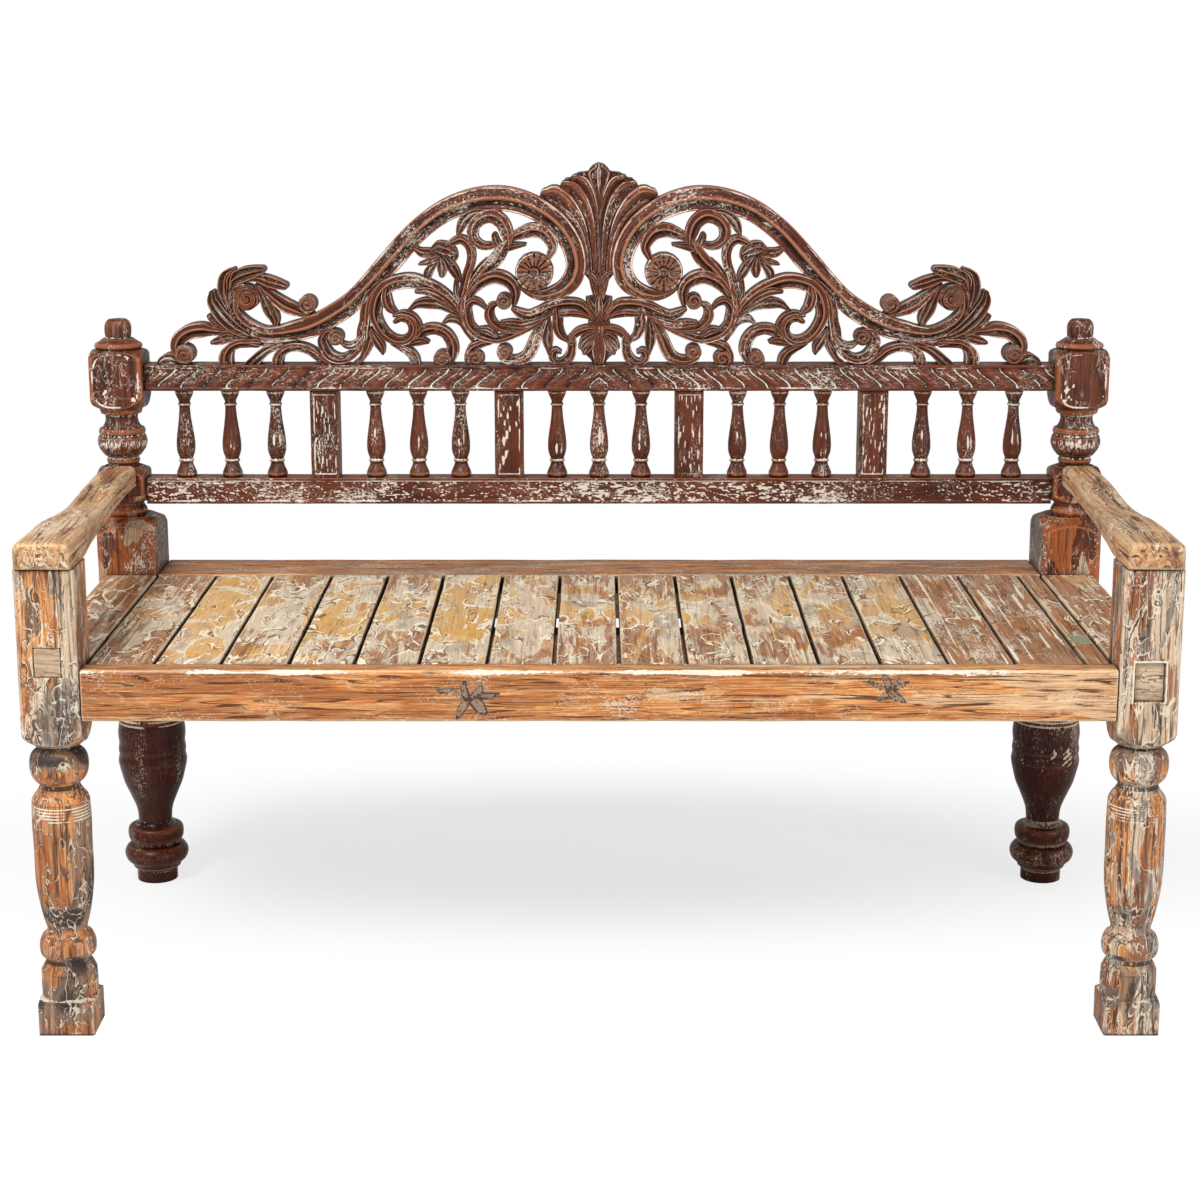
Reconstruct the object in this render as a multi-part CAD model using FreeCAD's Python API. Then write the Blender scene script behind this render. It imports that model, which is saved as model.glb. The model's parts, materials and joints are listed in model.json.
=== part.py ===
import FreeCAD, Part
import math
import os

os.makedirs("parts", exist_ok=True)

Vector = FreeCAD.Vector

# Carved bench: turned and squared posts, a slatted seat, arms, and a back of turned balusters
# under a carved rope rail and a pierced crest. Millimetres, +Z up, +Y to the back.
# The origin is on the floor under the middle of the whole bench.

# Seat frame
seat_height = 485.0
seat_rail_height = 67.0
seat_inner_width = 1292.0        # between the two side rails
front_rail_depth = 68.0
front_rail_setback = 3.0         # behind the posts' front faces
front_rail_lip = 34.0            # top that shows in front of the slats
slat_thickness = 22.0
slat_gap = 3.5
slat_edge_round = 2.0
slat_end_clearance = 0.3
bearer_width = 45.0
bearer_height = 40.0
ledger_width = 26.0
ledger_height = 38.0

# Front posts
post_size = 76.0
post_top = 612.0
foot_size = 72.0
foot_height = 48.0
foot_shoulder = 8.0
post_block_bottom = 404.0
post_block_shoulder = 22.0
leg_diameter = 75.0
arm_tenon_diameter = 34.0
arm_tenon_length = 18.0

# Plugs let into the front posts' faces
plug_depth = 14.0
left_plug_width = 34.0
left_plug_height = 38.0
left_plug_rise = 10.0            # its middle above the seat
left_plug_recess = 0.5
right_plug_width = 38.0
right_plug_height = 50.0
right_plug_drop = 16.0           # its middle below the seat
right_plug_recess = 5.0

# Back posts and back legs
post_spacing = 574.0             # front post axis to back post axis
seat_block_width = 87.0
seat_block_depth = 110.0
seat_block_top = 566.0
seat_block_shoulder = 24.0
back_post_lean_out = 9.0         # the upper turnings stand this much outside the seat blocks
back_leg_shift_in = 15.5         # the legs stand this much inside the seat blocks
lower_block_size = 70.0
lower_block_bottom = 584.0
lower_block_height = 54.0
upper_block_size = 77.0
upper_block_bottom = 722.0
upper_block_height = 89.0
block_shoulder = 13.0            # at both ends of the lower block and on top of the upper one
upper_block_low_shoulder = 19.0
block_neck_share = 0.40          # radius at a block's end as a share of its side
shoulder_rise_share = 0.35       # rise of a shoulder halfway out
post_turning_diameter = 73.0
finial_height = 41.5             # above the upper block
back_leg_diameter = 104.0
back_leg_block_size = 96.0
back_leg_block_bottom = 306.0
back_leg_block_shoulder = 26.0
back_leg_tenon_diameter = 36.0
back_leg_tenon_length = 16.0

# Back frame
lower_rail_bottom = 583.0
lower_rail_height = 38.5
lower_rail_depth = 38.0
rope_rail_bottom = 750.0
rope_rail_height = 38.0
rope_rail_depth = 44.0
rail_bead = 5.0                  # plain bead along the top and bottom edges
rail_bead_step = 2.0             # how far the field lies behind the beads
muntin_width = 42.0
muntin_depth = 36.0
muntin_tenon = 10.0
muntin_field_step = 2.0          # how far the sunk field lies behind its frame
baluster_diameter = 30.0
baluster_tenon_diameter = 13.0
baluster_tenon_length = 10.0

# Crest
crest_end_gap = 19.0             # between the crest's tip and the back post
crest_height = 288.0
crest_thickness = 36.0
crest_dowel_diameter = 9.0
crest_dowel_up = 10.0
crest_dowel_down = 24.0

# Arms
arm_thickness = 36.0
arm_front_width = 72.0
arm_back_width = 49.0
arm_overhang = 6.0
arm_edge_radius = 9.0
arm_tenon_width = 22.0
arm_tenon_height = 16.0
arm_tenon_depth = 26.0
arm_tenon_lift = 10.0            # above the arm's underside

# Joints
tenon_thickness = 24.0
tenon_length = 34.0
side_tenon_length = 24.0
tenon_shoulder = 12.0            # top and bottom shoulder of a seat rail's tenon
slim_tenon_thickness = 16.0
slim_tenon_length = 30.0
slim_tenon_shoulder = 7.0
mortise_bottom_gap = 0.8
clearance = 0.25
peg_diameter = 8.0
peg_past_tenon = 8.0
cut_overrun = 5.0

# Derived places
post_half = post_size / 2
seat_block_half = seat_block_depth / 2
bench_depth = arm_overhang + post_half + post_spacing + seat_block_half
front_post_y = -bench_depth / 2 + arm_overhang + post_half
back_post_y = front_post_y + post_spacing
front_post_x = seat_inner_width / 2 + post_half
seat_block_x = seat_inner_width / 2 + seat_block_width / 2
back_post_x = seat_block_x + back_post_lean_out
back_leg_x = seat_block_x - back_leg_shift_in
seat_rail_bottom = seat_height - seat_rail_height
slat_bottom = seat_height - slat_thickness
post_front_y = front_post_y - post_half
post_back_y = front_post_y + post_half
seat_block_front_y = back_post_y - seat_block_half
lower_rail_top = lower_rail_bottom + lower_rail_height
lower_block_top = lower_block_bottom + lower_block_height
upper_block_top = upper_block_bottom + upper_block_height
back_half_width = back_post_x - upper_block_size / 2
crest_half_width = back_half_width - crest_end_gap
rope_rail_top = rope_rail_bottom + rope_rail_height
sides = {"left": -1, "right": 1}


# Turnings
# Every run is one smooth stretch; its points are (share of the turned height, share of the
# largest diameter), from the bottom up. Sharp edges stand between two runs.
front_leg_shares = (
    ((0.00, 0.95), (0.06, 0.965), (0.11, 0.95)),
    ((0.11, 0.95), (0.13, 0.86), (0.145, 0.77)),
    ((0.155, 0.77), (0.165, 0.90), (0.195, 0.975), (0.225, 0.93), (0.24, 0.86)),
    ((0.24, 0.86), (0.25, 0.74), (0.262, 0.68)),
    ((0.262, 0.68), (0.32, 0.82), (0.41, 0.96), (0.58, 1.0), (0.70, 1.0), (0.735, 0.985)),
    ((0.735, 0.985), (0.75, 0.93), (0.77, 0.78), (0.785, 0.69)),
    ((0.795, 0.69), (0.815, 0.88), (0.865, 1.0), (0.905, 0.92), (0.93, 0.66)),
    ((0.94, 0.64), (1.0, 0.64)),
)
back_leg_shares = (
    ((0.00, 0.58), (0.04, 0.585), (0.058, 0.59)),
    ((0.068, 0.68), (0.085, 0.72)),
    ((0.085, 0.72), (0.11, 0.87), (0.147, 0.92), (0.178, 0.82), (0.19, 0.66)),
    ((0.20, 0.64), (0.208, 0.75), (0.235, 0.80), (0.275, 0.76), (0.288, 0.56)),
    ((0.305, 0.48), (0.36, 0.51), (0.445, 0.69), (0.503, 0.835), (0.575, 0.945)),
    ((0.59, 0.965), (0.615, 0.985), (0.64, 0.965)),
    ((0.65, 0.95), (0.675, 0.97), (0.70, 0.95)),
    ((0.71, 0.945), (0.76, 0.97), (0.80, 0.945)),
    ((0.81, 0.93), (0.83, 0.955), (0.85, 0.93)),
    ((0.86, 0.90), (0.92, 0.80), (0.96, 0.72), (1.0, 0.72)),
)
post_ring_shares = (
    ((-0.32, 0.80), (0.00, 0.84)),
    ((0.00, 0.84), (0.32, 0.89), (0.72, 0.80)),
    ((0.80, 0.77), (1.43, 0.77)),
)
post_vase_shares = (
    ((-0.06, 0.62), (0.023, 0.62)),
    ((0.036, 0.62), (0.098, 0.67), (0.159, 0.62)),
    ((0.183, 0.72), (0.302, 0.92), (0.422, 1.0), (0.524, 0.95)),
    ((0.548, 0.89), (0.609, 0.935), (0.667, 0.89)),
    ((0.684, 0.78), (0.763, 0.68), (0.848, 0.645), (0.91, 0.68)),
    ((0.923, 0.80), (0.985, 0.85), (1.053, 0.80)),
)
post_finial_shares = (
    ((-0.105, 0.84), (-0.022, 0.90)),
    ((-0.022, 0.90), (0.075, 0.96), (0.172, 0.91)),
    ((0.206, 0.82), (0.344, 0.60)),
    ((0.358, 0.51), (0.586, 0.535), (0.827, 0.51), (0.931, 0.45), (1.0, 0.36)),
)
baluster_shares = (
    ((0.00, 0.90), (0.035, 1.0), (0.077, 0.90), (0.119, 0.74), (0.16, 0.63)),
    ((0.167, 0.66), (0.188, 0.77), (0.209, 0.66)),
    ((0.215, 0.66), (0.235, 0.73), (0.286, 0.87), (0.37, 0.92), (0.48, 0.84), (0.593, 0.70),
     (0.704, 0.58), (0.805, 0.52)),
    ((0.813, 0.55), (0.832, 0.65), (0.851, 0.55)),
    ((0.86, 0.54), (0.886, 0.62), (0.927, 0.78), (0.97, 0.90), (1.0, 0.90)),
)

# Seat slats, left to right, as shares of a full slat's pitch. The narrow last one fills up the seat.
slat_width_shares = (1.02, 0.99, 1.02, 0.98, 0.97, 1.02, 1.00, 0.975,
                     1.01, 0.98, 1.01, 0.92, 1.005, 1.01, 1.04, 0.40)

# Balusters and muntins across the back, as shares of the distance from the centre to a block
baluster_place_shares = (0.0, 0.093, 0.307, 0.400, 0.495, 0.716, 0.816, 0.918)
muntin_place_shares = (0.199, 0.606)

# Arm sections from the front to the back: (share of the length, width share between the front
# and back widths, share of the full thickness)
arm_section_shares = (
    (0.0, 0.10, 0.93), (0.012, 0.0, 0.985), (0.15, 0.0, 1.0), (0.29, 0.25, 0.92), (0.43, 0.50, 0.72),
    (0.54, 0.66, 0.64), (0.64, 0.78, 0.69), (0.75, 0.90, 0.82), (0.88, 1.0, 0.88), (1.0, 1.0, 0.86),
)

# Crest, drawn on the carver's squared template. Each point lies on the middle line of a stem or
# leaf: (squares out from the centre, squares above the rail, width in squares).
square_out_share = 1 / 440       # of the crest's half width
square_up_share = 1 / 199        # of the crest's height
band_shares = (
    (339, 72, 3), (345, 77, 4), (353, 78, 5), (360, 73, 7), (362, 63, 9), (361, 52, 11), (355, 43, 13),
    (345, 36, 13), (332, 31, 13), (318, 31, 15), (304, 33, 19), (290, 36, 21), (276, 42, 21), (262, 50, 21),
    (250, 58, 21), (238, 69, 20), (226, 81, 21), (204, 105, 23), (177, 134, 22), (148, 154, 22),
    (118, 163, 24), (93, 164, 24), (70, 158, 23), (50, 147, 23), (34, 131, 22), (25, 113, 21), (23, 96, 20),
    (27, 84, 19), (36, 75, 16), (48, 70, 13), (60, 69, 9), (70, 72, 6), (78, 77, 3),
)
stroke_shares = {
    "ear_leaf_top": ((334, 94, 8), (343, 92, 12), (353, 89, 14), (362, 84, 12), (365, 76, 6)),
    "ear_leaf_back": ((367, 56, 4), (370, 66, 9), (371, 77, 13), (369, 87, 12), (362, 94, 5)),
    "ear_leaf_middle": ((383, 71, 6), (383, 64, 10), (378, 54, 13), (370, 44, 13), (361, 36, 11),
                        (350, 30, 7)),
    "ear_leaf_low": ((386, 48, 6), (381, 42, 8), (373, 35, 7), (364, 30, 4)),
    "ear_leaf_hanging": ((337, 77, 5), (332, 67, 9), (327, 55, 12), (322, 45, 9), (321, 37, 3)),
    "ear_leaf_front": ((350, 84, 3), (338, 86, 8), (325, 82, 11), (312, 78, 8)),
    "ear_curl": ((338, 80, 4), (328, 72, 8), (320, 65, 11), (312, 59, 13), (303, 55, 12), (295, 52, 9),
                 (285, 50, 5)),
    "tendril": ((370, 32, 5), (384, 33, 9), (395, 34, 15), (407, 32, 15), (416, 26, 15), (420, 17, 12),
                (417, 8, 9)),
    "rail_ruffle": ((440, -1, 3), (434, 4, 9), (427, 5, 12), (421, 3, 9)),
    "tendril_leaf": ((384, 22, 5), (376, 24, 9), (366, 27, 8), (354, 28, 5)),
    "arch_outer": ((372, -1, 13), (372, 7, 13), (368, 15, 10), (360, 20, 9), (350, 21, 9),
                   (340, 21, 9)),
    "arch_leaf": ((347, -1, 12), (338, 8, 10), (328, 15, 8), (317, 19, 7)),
    "under_strap": ((354, 26, 8), (338, 23, 9), (320, 22, 9), (303, 24, 8)),
    "arch_second": ((321, -1, 10), (319, 8, 10), (311, 15, 9), (299, 17, 9), (287, 13, 9), (277, 5, 8),
                    (269, 0, 5)),
    "stem_left": ((214, 84, 4), (222, 76, 7), (229, 66, 9), (232, 54, 10), (233, 43, 10), (235, 34, 11),
                  (236, 26, 11), (240, 17, 10), (247, 9, 9), (257, 5, 9), (267, 8, 10), (273, 16, 10),
                  (275, 25, 9), (270, 32, 7), (263, 33, 5)),
    "stem_left_tip": ((256, 21, 3), (250, 18, 6), (243, 19, 8), (237, 25, 8)),
    "stem_left_strand": ((227, 35, 4), (228, 24, 8), (232, 13, 8), (238, 4, 6), (244, 0, 4)),
    "great_scroll": ((137, 50, 6), (146, 62, 11), (158, 72, 13), (172, 79, 14), (186, 83, 15),
                     (198, 82, 15), (209, 78, 14), (217, 70, 13), (221, 60, 13), (222, 49, 12),
                     (218, 38, 11), (211, 29, 10), (202, 24, 9), (193, 24, 9), (187, 29, 9),
                     (185, 37, 9), (189, 44, 8), (196, 46, 7), (202, 43, 5)),
    "great_scroll_curl": ((210, 76, 6), (211, 66, 10), (208, 57, 9), (203, 52, 5)),
    "great_scroll_sheath": ((203, 49, 4), (194, 50, 7), (186, 47, 8), (180, 40, 7), (177, 34, 4)),
    "great_scroll_leaf": ((226, 34, 4), (222, 25, 9), (217, 17, 8), (215, 11, 3)),
    "node_leaf_low": ((189, 54, 3), (180, 60, 8), (169, 61, 11), (157, 59, 9), (146, 54, 7),
                      (138, 50, 5)),
    "node_leaf_high": ((180, 73, 5), (171, 73, 8), (160, 69, 8), (149, 61, 7), (139, 52, 5)),
    "node_leaf_curl": ((155, 41, 3), (149, 45, 7), (142, 45, 8), (136, 41, 7), (131, 33, 6),
                       (126, 25, 4)),
    "scroll_low": ((181, 26, 6), (174, 33, 11), (163, 35, 11), (153, 31, 11), (147, 22, 12),
                   (146, 11, 12), (149, 3, 9)),
    "scroll_low_leaf": ((170, 22, 3), (177, 23, 8), (186, 21, 6)),
    "arch_third": ((205, 21, 5), (196, 16, 7), (188, 11, 9), (184, 5, 10), (183, -1, 10)),
    "bud": ((165, 114, 5), (158, 117, 11), (150, 115, 12), (143, 111, 6)),
    "petal_long": ((183, 116, 3), (174, 111, 9), (163, 111, 9)),
    "petal_left": ((177, 100, 3), (168, 102, 6), (158, 106, 6)),
    "petal_down": ((170, 83, 5), (169, 91, 9), (162, 101, 6)),
    "petal_middle": ((155, 90, 7), (155, 95, 10), (156, 104, 5)),
    "petal_right": ((153, 107, 4), (147, 99, 9), (142, 91, 9), (138, 84, 4)),
    "calyx": ((149, 118, 6), (144, 113, 7), (143, 106, 7), (146, 100, 4)),
    "flower_stem": ((149, 119, 5), (143, 122, 8), (136, 124, 9), (129, 119, 9), (126, 110, 9),
                    (127, 100, 9), (131, 89, 9), (134, 77, 9), (137, 64, 10), (137, 52, 8)),
    "stem_sheath": ((141, 86, 4), (142, 73, 5), (139, 60, 5)),
    "stem_bud_leaf": ((111, 102, 7), (117, 95, 9), (125, 86, 6), (130, 78, 3)),
    "ring_scroll": ((90, 118, 6), (91, 130, 13), (96, 141, 14), (106, 147, 14), (117, 144, 13),
                    (124, 135, 12), (123, 124, 10), (115, 118, 8), (106, 118, 7), (99, 121, 5)),
    "ring_sheath": ((112, 152, 4), (124, 149, 9), (133, 142, 11), (137, 134, 8), (139, 128, 3)),
    "main_stem": ((92, 120, 8), (97, 111, 13), (104, 102, 14), (113, 94, 12), (122, 84, 9),
                  (130, 72, 8), (136, 60, 8), (137, 50, 7)),
    "stub_leaf": ((103, 128, 6), (101, 121, 8), (97, 113, 6)),
    "stub_leaf_right": ((73, 119, 3), (81, 118, 6), (91, 116, 8)),
    "rosette_scroll": ((92, 121, 4), (85, 126, 8), (76, 130, 12), (66, 133, 14), (56, 131, 14),
                       (49, 124, 12), (46, 116, 10), (49, 108, 7), (52, 102, 4)),
    "wide_scroll": ((113, 56, 3), (118, 61, 6), (125, 63, 8), (131, 57, 10), (131, 47, 11),
                    (128, 38, 10), (121, 31, 10), (112, 27, 9), (101, 25, 8), (90, 28, 8), (78, 33, 8),
                    (66, 39, 7), (54, 47, 6), (44, 53, 4)),
    "upper_scroll": ((136, 56, 7), (130, 68, 10), (122, 78, 12), (113, 84, 13), (103, 87, 14),
                     (94, 85, 14), (86, 79, 12), (83, 70, 10), (84, 62, 7)),
    "inner_scroll": ((102, 60, 4), (107, 57, 8), (109, 49, 10), (106, 42, 9), (98, 36, 7), (87, 34, 6),
                     (76, 35, 5), (66, 38, 4)),
    "inner_leaf_low": ((118, 35, 4), (111, 34, 7), (103, 29, 5)),
    "inner_leaf_high": ((97, 41, 4), (88, 41, 7), (76, 40, 8), (64, 43, 7), (54, 47, 5)),
    "broad_band": ((85, 55, 5), (79, 51, 9), (70, 48, 11), (60, 51, 12), (50, 56, 12), (40, 59, 12),
                   (30, 60, 12), (20, 59, 11), (13, 54, 9), (8, 46, 6)),
    "broad_band_under": ((38, 50, 6), (28, 51, 7), (18, 50, 7), (10, 47, 4)),
    "hook_scroll": ((42, 54, 8), (41, 46, 11), (41, 38, 11), (38, 30, 9), (33, 25, 5), (28, 22, 4)),
    "leaf_stem": ((53, 45, 4), (58, 36, 8), (63, 26, 12), (67, 16, 13), (72, 8, 12), (80, 4, 10),
                  (89, 4, 9), (96, 7, 8)),
    "middle_leaf": ((50, 45, 4), (51, 34, 9), (51, 24, 11), (50, 16, 7), (50, 11, 3)),
    "foot_scroll": ((131, 0, 5), (130, 9, 8), (126, 16, 9), (118, 20, 8), (108, 22, 5)),
    "palmette_hook": ((27, 26, 8), (27, 16, 9), (29, 8, 10), (36, 2, 8), (42, 2, 6), (46, 7, 9),
                      (44, 13, 7), (39, 12, 4)),
    "palmette_arch": ((28, 26, 6), (21, 32, 8), (12, 35, 8), (5, 36, 5)),
}
disc_shares = {
    "ear_volute": (349, 66, 12), "ear_curl_volute": (289, 60, 9), "tendril_volute": (413, 10, 10),
    "stem_left_volute": (262, 27, 8), "scroll_low_volute": (156, 5, 9), "foot_volute": (123, 5, 9),
    "upper_volute": (94, 63, 8), "leaf_stem_volute": (94, 12, 8), "rosette": (64, 92, 19),
    "hook_knob": (28, 22, 4),
}

# Left side of the middle piece, bottom to top: palmette, tie, tulip, stalk and shell
centre_shares = (
    ((6, 0), (9, 5), (13, 9), (18, 13), (21, 19), (19, 26), (13, 30), (6, 33)),
    ((6, 33), (6, 38)),
    ((6, 38), (10.5, 38)),
    ((10.5, 38), (10.5, 43.5)),
    ((10.5, 43.5), (6.5, 43.5)),
    ((6.5, 43.5), (10, 52), (13.5, 61), (12.5, 67), (9, 67)),
    ((9, 67), (7, 68), (6.5, 73), (8, 79), (11, 85), (18, 94)),
    ((18, 94), (22, 112), (28, 133), (40, 150), (50, 159), (57, 168.5)),
    ((57, 168.5), (52, 174), (45, 176), (37, 174.5)),
    ((37, 174.5), (36.5, 181), (33, 184), (25.5, 182)),
    ((25.5, 182), (25, 187), (21, 190), (11, 187.5)),
    ((11, 187.5), (10, 193), (6, 197), (0, 199)),
)
crest_dowel_shares = (0, 147, 185, 320, 372)


# Shape helpers
def box(x_low, x_high, y_low, y_high, z_low, z_high):
    return Part.makeBox(x_high - x_low, y_high - y_low, z_high - z_low, Vector(x_low, y_low, z_low))


def box_about(x, y, size_x, size_y, z_low, z_high):
    return box(x - size_x / 2, x + size_x / 2, y - size_y / 2, y + size_y / 2, z_low, z_high)


def pin_up(x, y, diameter, z_low, z_high):
    return Part.makeCylinder(diameter / 2, z_high - z_low, Vector(x, y, z_low))


def pin_forward(x, z, diameter, y_back, length):
    return Part.makeCylinder(diameter / 2, length, Vector(x, y_back, z), Vector(0, -1, 0))


def smooth_edge(points):
    if len(points) == 2:
        return Part.LineSegment(points[0], points[1]).toShape()
    curve = Part.BSplineCurve()
    curve.interpolate(points)
    return curve.toShape()


def revolved(runs):
    """Solid of revolution about Z from an open outline in the XZ plane, made of smooth runs."""
    edges = []
    last = Vector(0, 0, runs[0][0].z)
    for run in runs:
        if (run[0] - last).Length > 0:
            edges.append(smooth_edge([last, run[0]]))
        edges.append(smooth_edge(run))
        last = run[-1]
    top = Vector(0, 0, last.z)
    edges.append(smooth_edge([last, top]))
    edges.append(smooth_edge([top, Vector(0, 0, runs[0][0].z)]))
    return Part.Face(Part.Wire(edges)).revolve(Vector(0, 0, 0), Vector(0, 0, 1), 360)


def turned(share_runs, x, y, z_low, height, diameter):
    """Turned piece from runs of (height share, diameter share)."""
    runs = [[Vector(wide * diameter / 2, 0, high * height) for high, wide in run] for run in share_runs]
    solid = revolved(runs)
    solid.translate(Vector(x, y, z_low))
    return solid


def squared_block(x, y, size_x, size_y, z_low, z_high, low_shoulder, high_shoulder):
    """Square block whose ends are turned down to round shoulders."""
    neck = block_neck_share * size_x
    corner = math.hypot(size_x, size_y) / 2
    bulge = (neck + corner) / 2
    outer = corner + cut_overrun
    z_start = z_low + low_shoulder
    z_end = z_high - high_shoulder
    low_bulge = Vector(bulge, 0, z_low + shoulder_rise_share * low_shoulder)
    high_bulge = Vector(bulge, 0, z_high - shoulder_rise_share * high_shoulder)
    runs = [[Vector(outer, 0, z_start), Vector(outer, 0, z_end)]]
    if low_shoulder > 0:
        runs.insert(0, [Vector(neck, 0, z_low), low_bulge, Vector(corner, 0, z_start)])
    if high_shoulder > 0:
        runs.append([Vector(corner, 0, z_end), high_bulge, Vector(neck, 0, z_high)])
    lathe = revolved(runs)
    lathe.translate(Vector(x, y, 0))
    return box_about(x, y, size_x, size_y, z_low, z_high).common(lathe)


def save(name, shape):
    shape.exportStep(os.path.join("parts", name + ".step"))
    print(name, len(shape.Solids), round(shape.Volume), shape.isValid())


# Seat rails and their tenons
def long_tenon(x_low, x_high, y, z_low, z_high, grow):
    return box(x_low - grow, x_high + grow, y - tenon_thickness / 2 - grow, y + tenon_thickness / 2 + grow,
               z_low - grow, z_high + grow)


tenon_low = seat_rail_bottom + tenon_shoulder
tenon_high = seat_height - tenon_shoulder
front_tenon_y = post_front_y + front_rail_setback + front_rail_lip
back_tenon_y = back_post_y
rail_half_length = seat_inner_width / 2
mortise_reach = rail_half_length + tenon_length + mortise_bottom_gap
back_tenon_low = tenon_low + back_leg_tenon_length


def front_rail():
    y_front = post_front_y + front_rail_setback
    rail = box(-rail_half_length, rail_half_length, y_front, y_front + front_rail_depth,
               seat_rail_bottom, seat_height)
    rabbet = box(-rail_half_length, rail_half_length, y_front + front_rail_lip,
                 y_front + front_rail_depth + cut_overrun, slat_bottom, seat_height + cut_overrun)
    reach = rail_half_length + tenon_length
    tenon = long_tenon(-reach, reach, front_tenon_y, tenon_low, tenon_high, 0)
    return rail.fuse(tenon).removeSplitter().cut(rabbet)


def back_rail():
    rail = box(-rail_half_length, rail_half_length, seat_block_front_y,
               seat_block_front_y + seat_block_depth, seat_rail_bottom, seat_height)
    reach = rail_half_length + tenon_length
    tenon = long_tenon(-reach, reach, back_tenon_y, back_tenon_low, tenon_high, 0)
    rail = rail.fuse(tenon).removeSplitter()
    for side in sides.values():
        rail = rail.cut(seat_peg(side, clearance))
    return rail


def side_tenon(side, y_low, y_high, grow):
    x = side * front_post_x
    return box(x - tenon_thickness / 2 - grow, x + tenon_thickness / 2 + grow, y_low, y_high,
               tenon_low - grow, tenon_high + grow)


def side_rail(side):
    x = side * front_post_x
    rail = box_about(x, (post_back_y + seat_block_front_y) / 2, post_size, seat_block_front_y - post_back_y,
                     seat_rail_bottom, seat_height)
    tenon = side_tenon(side, post_back_y - side_tenon_length, seat_block_front_y + side_tenon_length, 0)
    return rail.fuse(tenon).removeSplitter()


# Turned and squared posts
def front_post(side):
    x = side * front_post_x
    y = front_post_y
    foot = squared_block(x, y, foot_size, foot_size, 0, foot_height, 0, foot_shoulder)
    turning = turned(front_leg_shares, x, y, foot_height - foot_shoulder,
                     post_block_bottom - foot_height + foot_shoulder, leg_diameter)
    block = squared_block(x, y, post_size, post_size, post_block_bottom - post_block_shoulder, post_top,
                          post_block_shoulder, 0)
    tenon = pin_up(x, y, arm_tenon_diameter, post_top, post_top + arm_tenon_length)
    post = foot.fuse([turning, block, tenon]).removeSplitter()
    grow = clearance
    post = post.cut(long_tenon(-mortise_reach, mortise_reach, front_tenon_y, tenon_low, tenon_high, grow))
    post = post.cut(side_tenon(side, post_back_y - side_tenon_length - mortise_bottom_gap,
                               post_back_y + cut_overrun, grow))
    name = "left" if side < 0 else "right"
    return post.cut(plug_pocket(name))


plugs = {
    "left": (left_plug_width, left_plug_height, seat_height + left_plug_rise, left_plug_recess),
    "right": (right_plug_width, right_plug_height, seat_height - right_plug_drop, right_plug_recess),
}


def plug_pocket(name):
    width, height, middle, recess = plugs[name]
    x = sides[name] * front_post_x
    return box(x - width / 2 - clearance, x + width / 2 + clearance,
               post_front_y - cut_overrun, post_front_y + recess + plug_depth,
               middle - height / 2 - clearance, middle + height / 2 + clearance)


def mortise_plug(name):
    width, height, middle, recess = plugs[name]
    x = sides[name] * front_post_x
    return box(x - width / 2, x + width / 2, post_front_y + recess, post_front_y + recess + plug_depth,
               middle - height / 2, middle + height / 2)


def back_leg(side):
    x = side * back_leg_x
    turning = turned(back_leg_shares, x, back_post_y, 0, back_leg_block_bottom, back_leg_diameter)
    block = squared_block(x, back_post_y, back_leg_block_size, back_leg_block_size,
                          back_leg_block_bottom - clearance, seat_rail_bottom, back_leg_block_shoulder, 0)
    tenon = pin_up(x, back_post_y, back_leg_tenon_diameter, seat_rail_bottom,
                   seat_rail_bottom + back_leg_tenon_length)
    return turning.fuse([block, tenon]).removeSplitter()


def back_post(side):
    y = back_post_y
    x = side * back_post_x
    seat_block = squared_block(side * seat_block_x, y, seat_block_width, seat_block_depth, seat_rail_bottom,
                               seat_block_top, 0, seat_block_shoulder)
    lower = squared_block(x, y, lower_block_size, lower_block_size, lower_block_bottom,
                          lower_block_top, block_shoulder, block_shoulder)
    upper = squared_block(x, y, upper_block_size, upper_block_size, upper_block_bottom,
                          upper_block_top, upper_block_low_shoulder, block_shoulder)
    turnings = [
        turned(post_ring_shares, x, y, seat_block_top, lower_block_bottom - seat_block_top,
               post_turning_diameter),
        turned(post_vase_shares, x, y, lower_block_top, upper_block_bottom - lower_block_top,
               post_turning_diameter),
        turned(post_finial_shares, x, y, upper_block_top, finial_height, post_turning_diameter),
    ]
    post = seat_block.fuse([lower, upper] + turnings).removeSplitter()
    grow = clearance
    post = post.cut(long_tenon(-mortise_reach, mortise_reach, back_tenon_y, back_tenon_low, tenon_high,
                               grow))
    post = post.cut(side_tenon(side, seat_block_front_y - cut_overrun,
                               seat_block_front_y + side_tenon_length + mortise_bottom_gap, grow))
    post = post.cut(pin_up(side * back_leg_x, y, back_leg_tenon_diameter + 2 * clearance,
                           seat_rail_bottom - cut_overrun,
                           seat_rail_bottom + back_leg_tenon_length + mortise_bottom_gap))
    for rail in back_rails:
        post = post.cut(slim_tenons(rail, slim_tenon_length + mortise_bottom_gap, clearance))
    post = post.cut(arm_tenon(side, arm_tenon_depth + mortise_bottom_gap, clearance))
    post = post.cut(seat_peg(side, clearance))
    for rail in back_rails:
        post = post.cut(rail_peg(rail, side, clearance))
    return post


# Back rails: name, bottom, height, depth, block the rail enters
back_rails = {
    "lower_rail": (lower_rail_bottom, lower_rail_height, lower_rail_depth, lower_block_size),
    "rope_rail": (rope_rail_bottom, rope_rail_height, rope_rail_depth, upper_block_size),
}


def slim_tenons(rail, length, grow):
    bottom, height, depth, block = back_rails[rail]
    reach = back_post_x - block / 2 + length
    half = slim_tenon_thickness / 2 + grow
    return box(-reach, reach, back_post_y - half, back_post_y + half,
               bottom + slim_tenon_shoulder - grow, bottom + height - slim_tenon_shoulder + grow)


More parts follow.
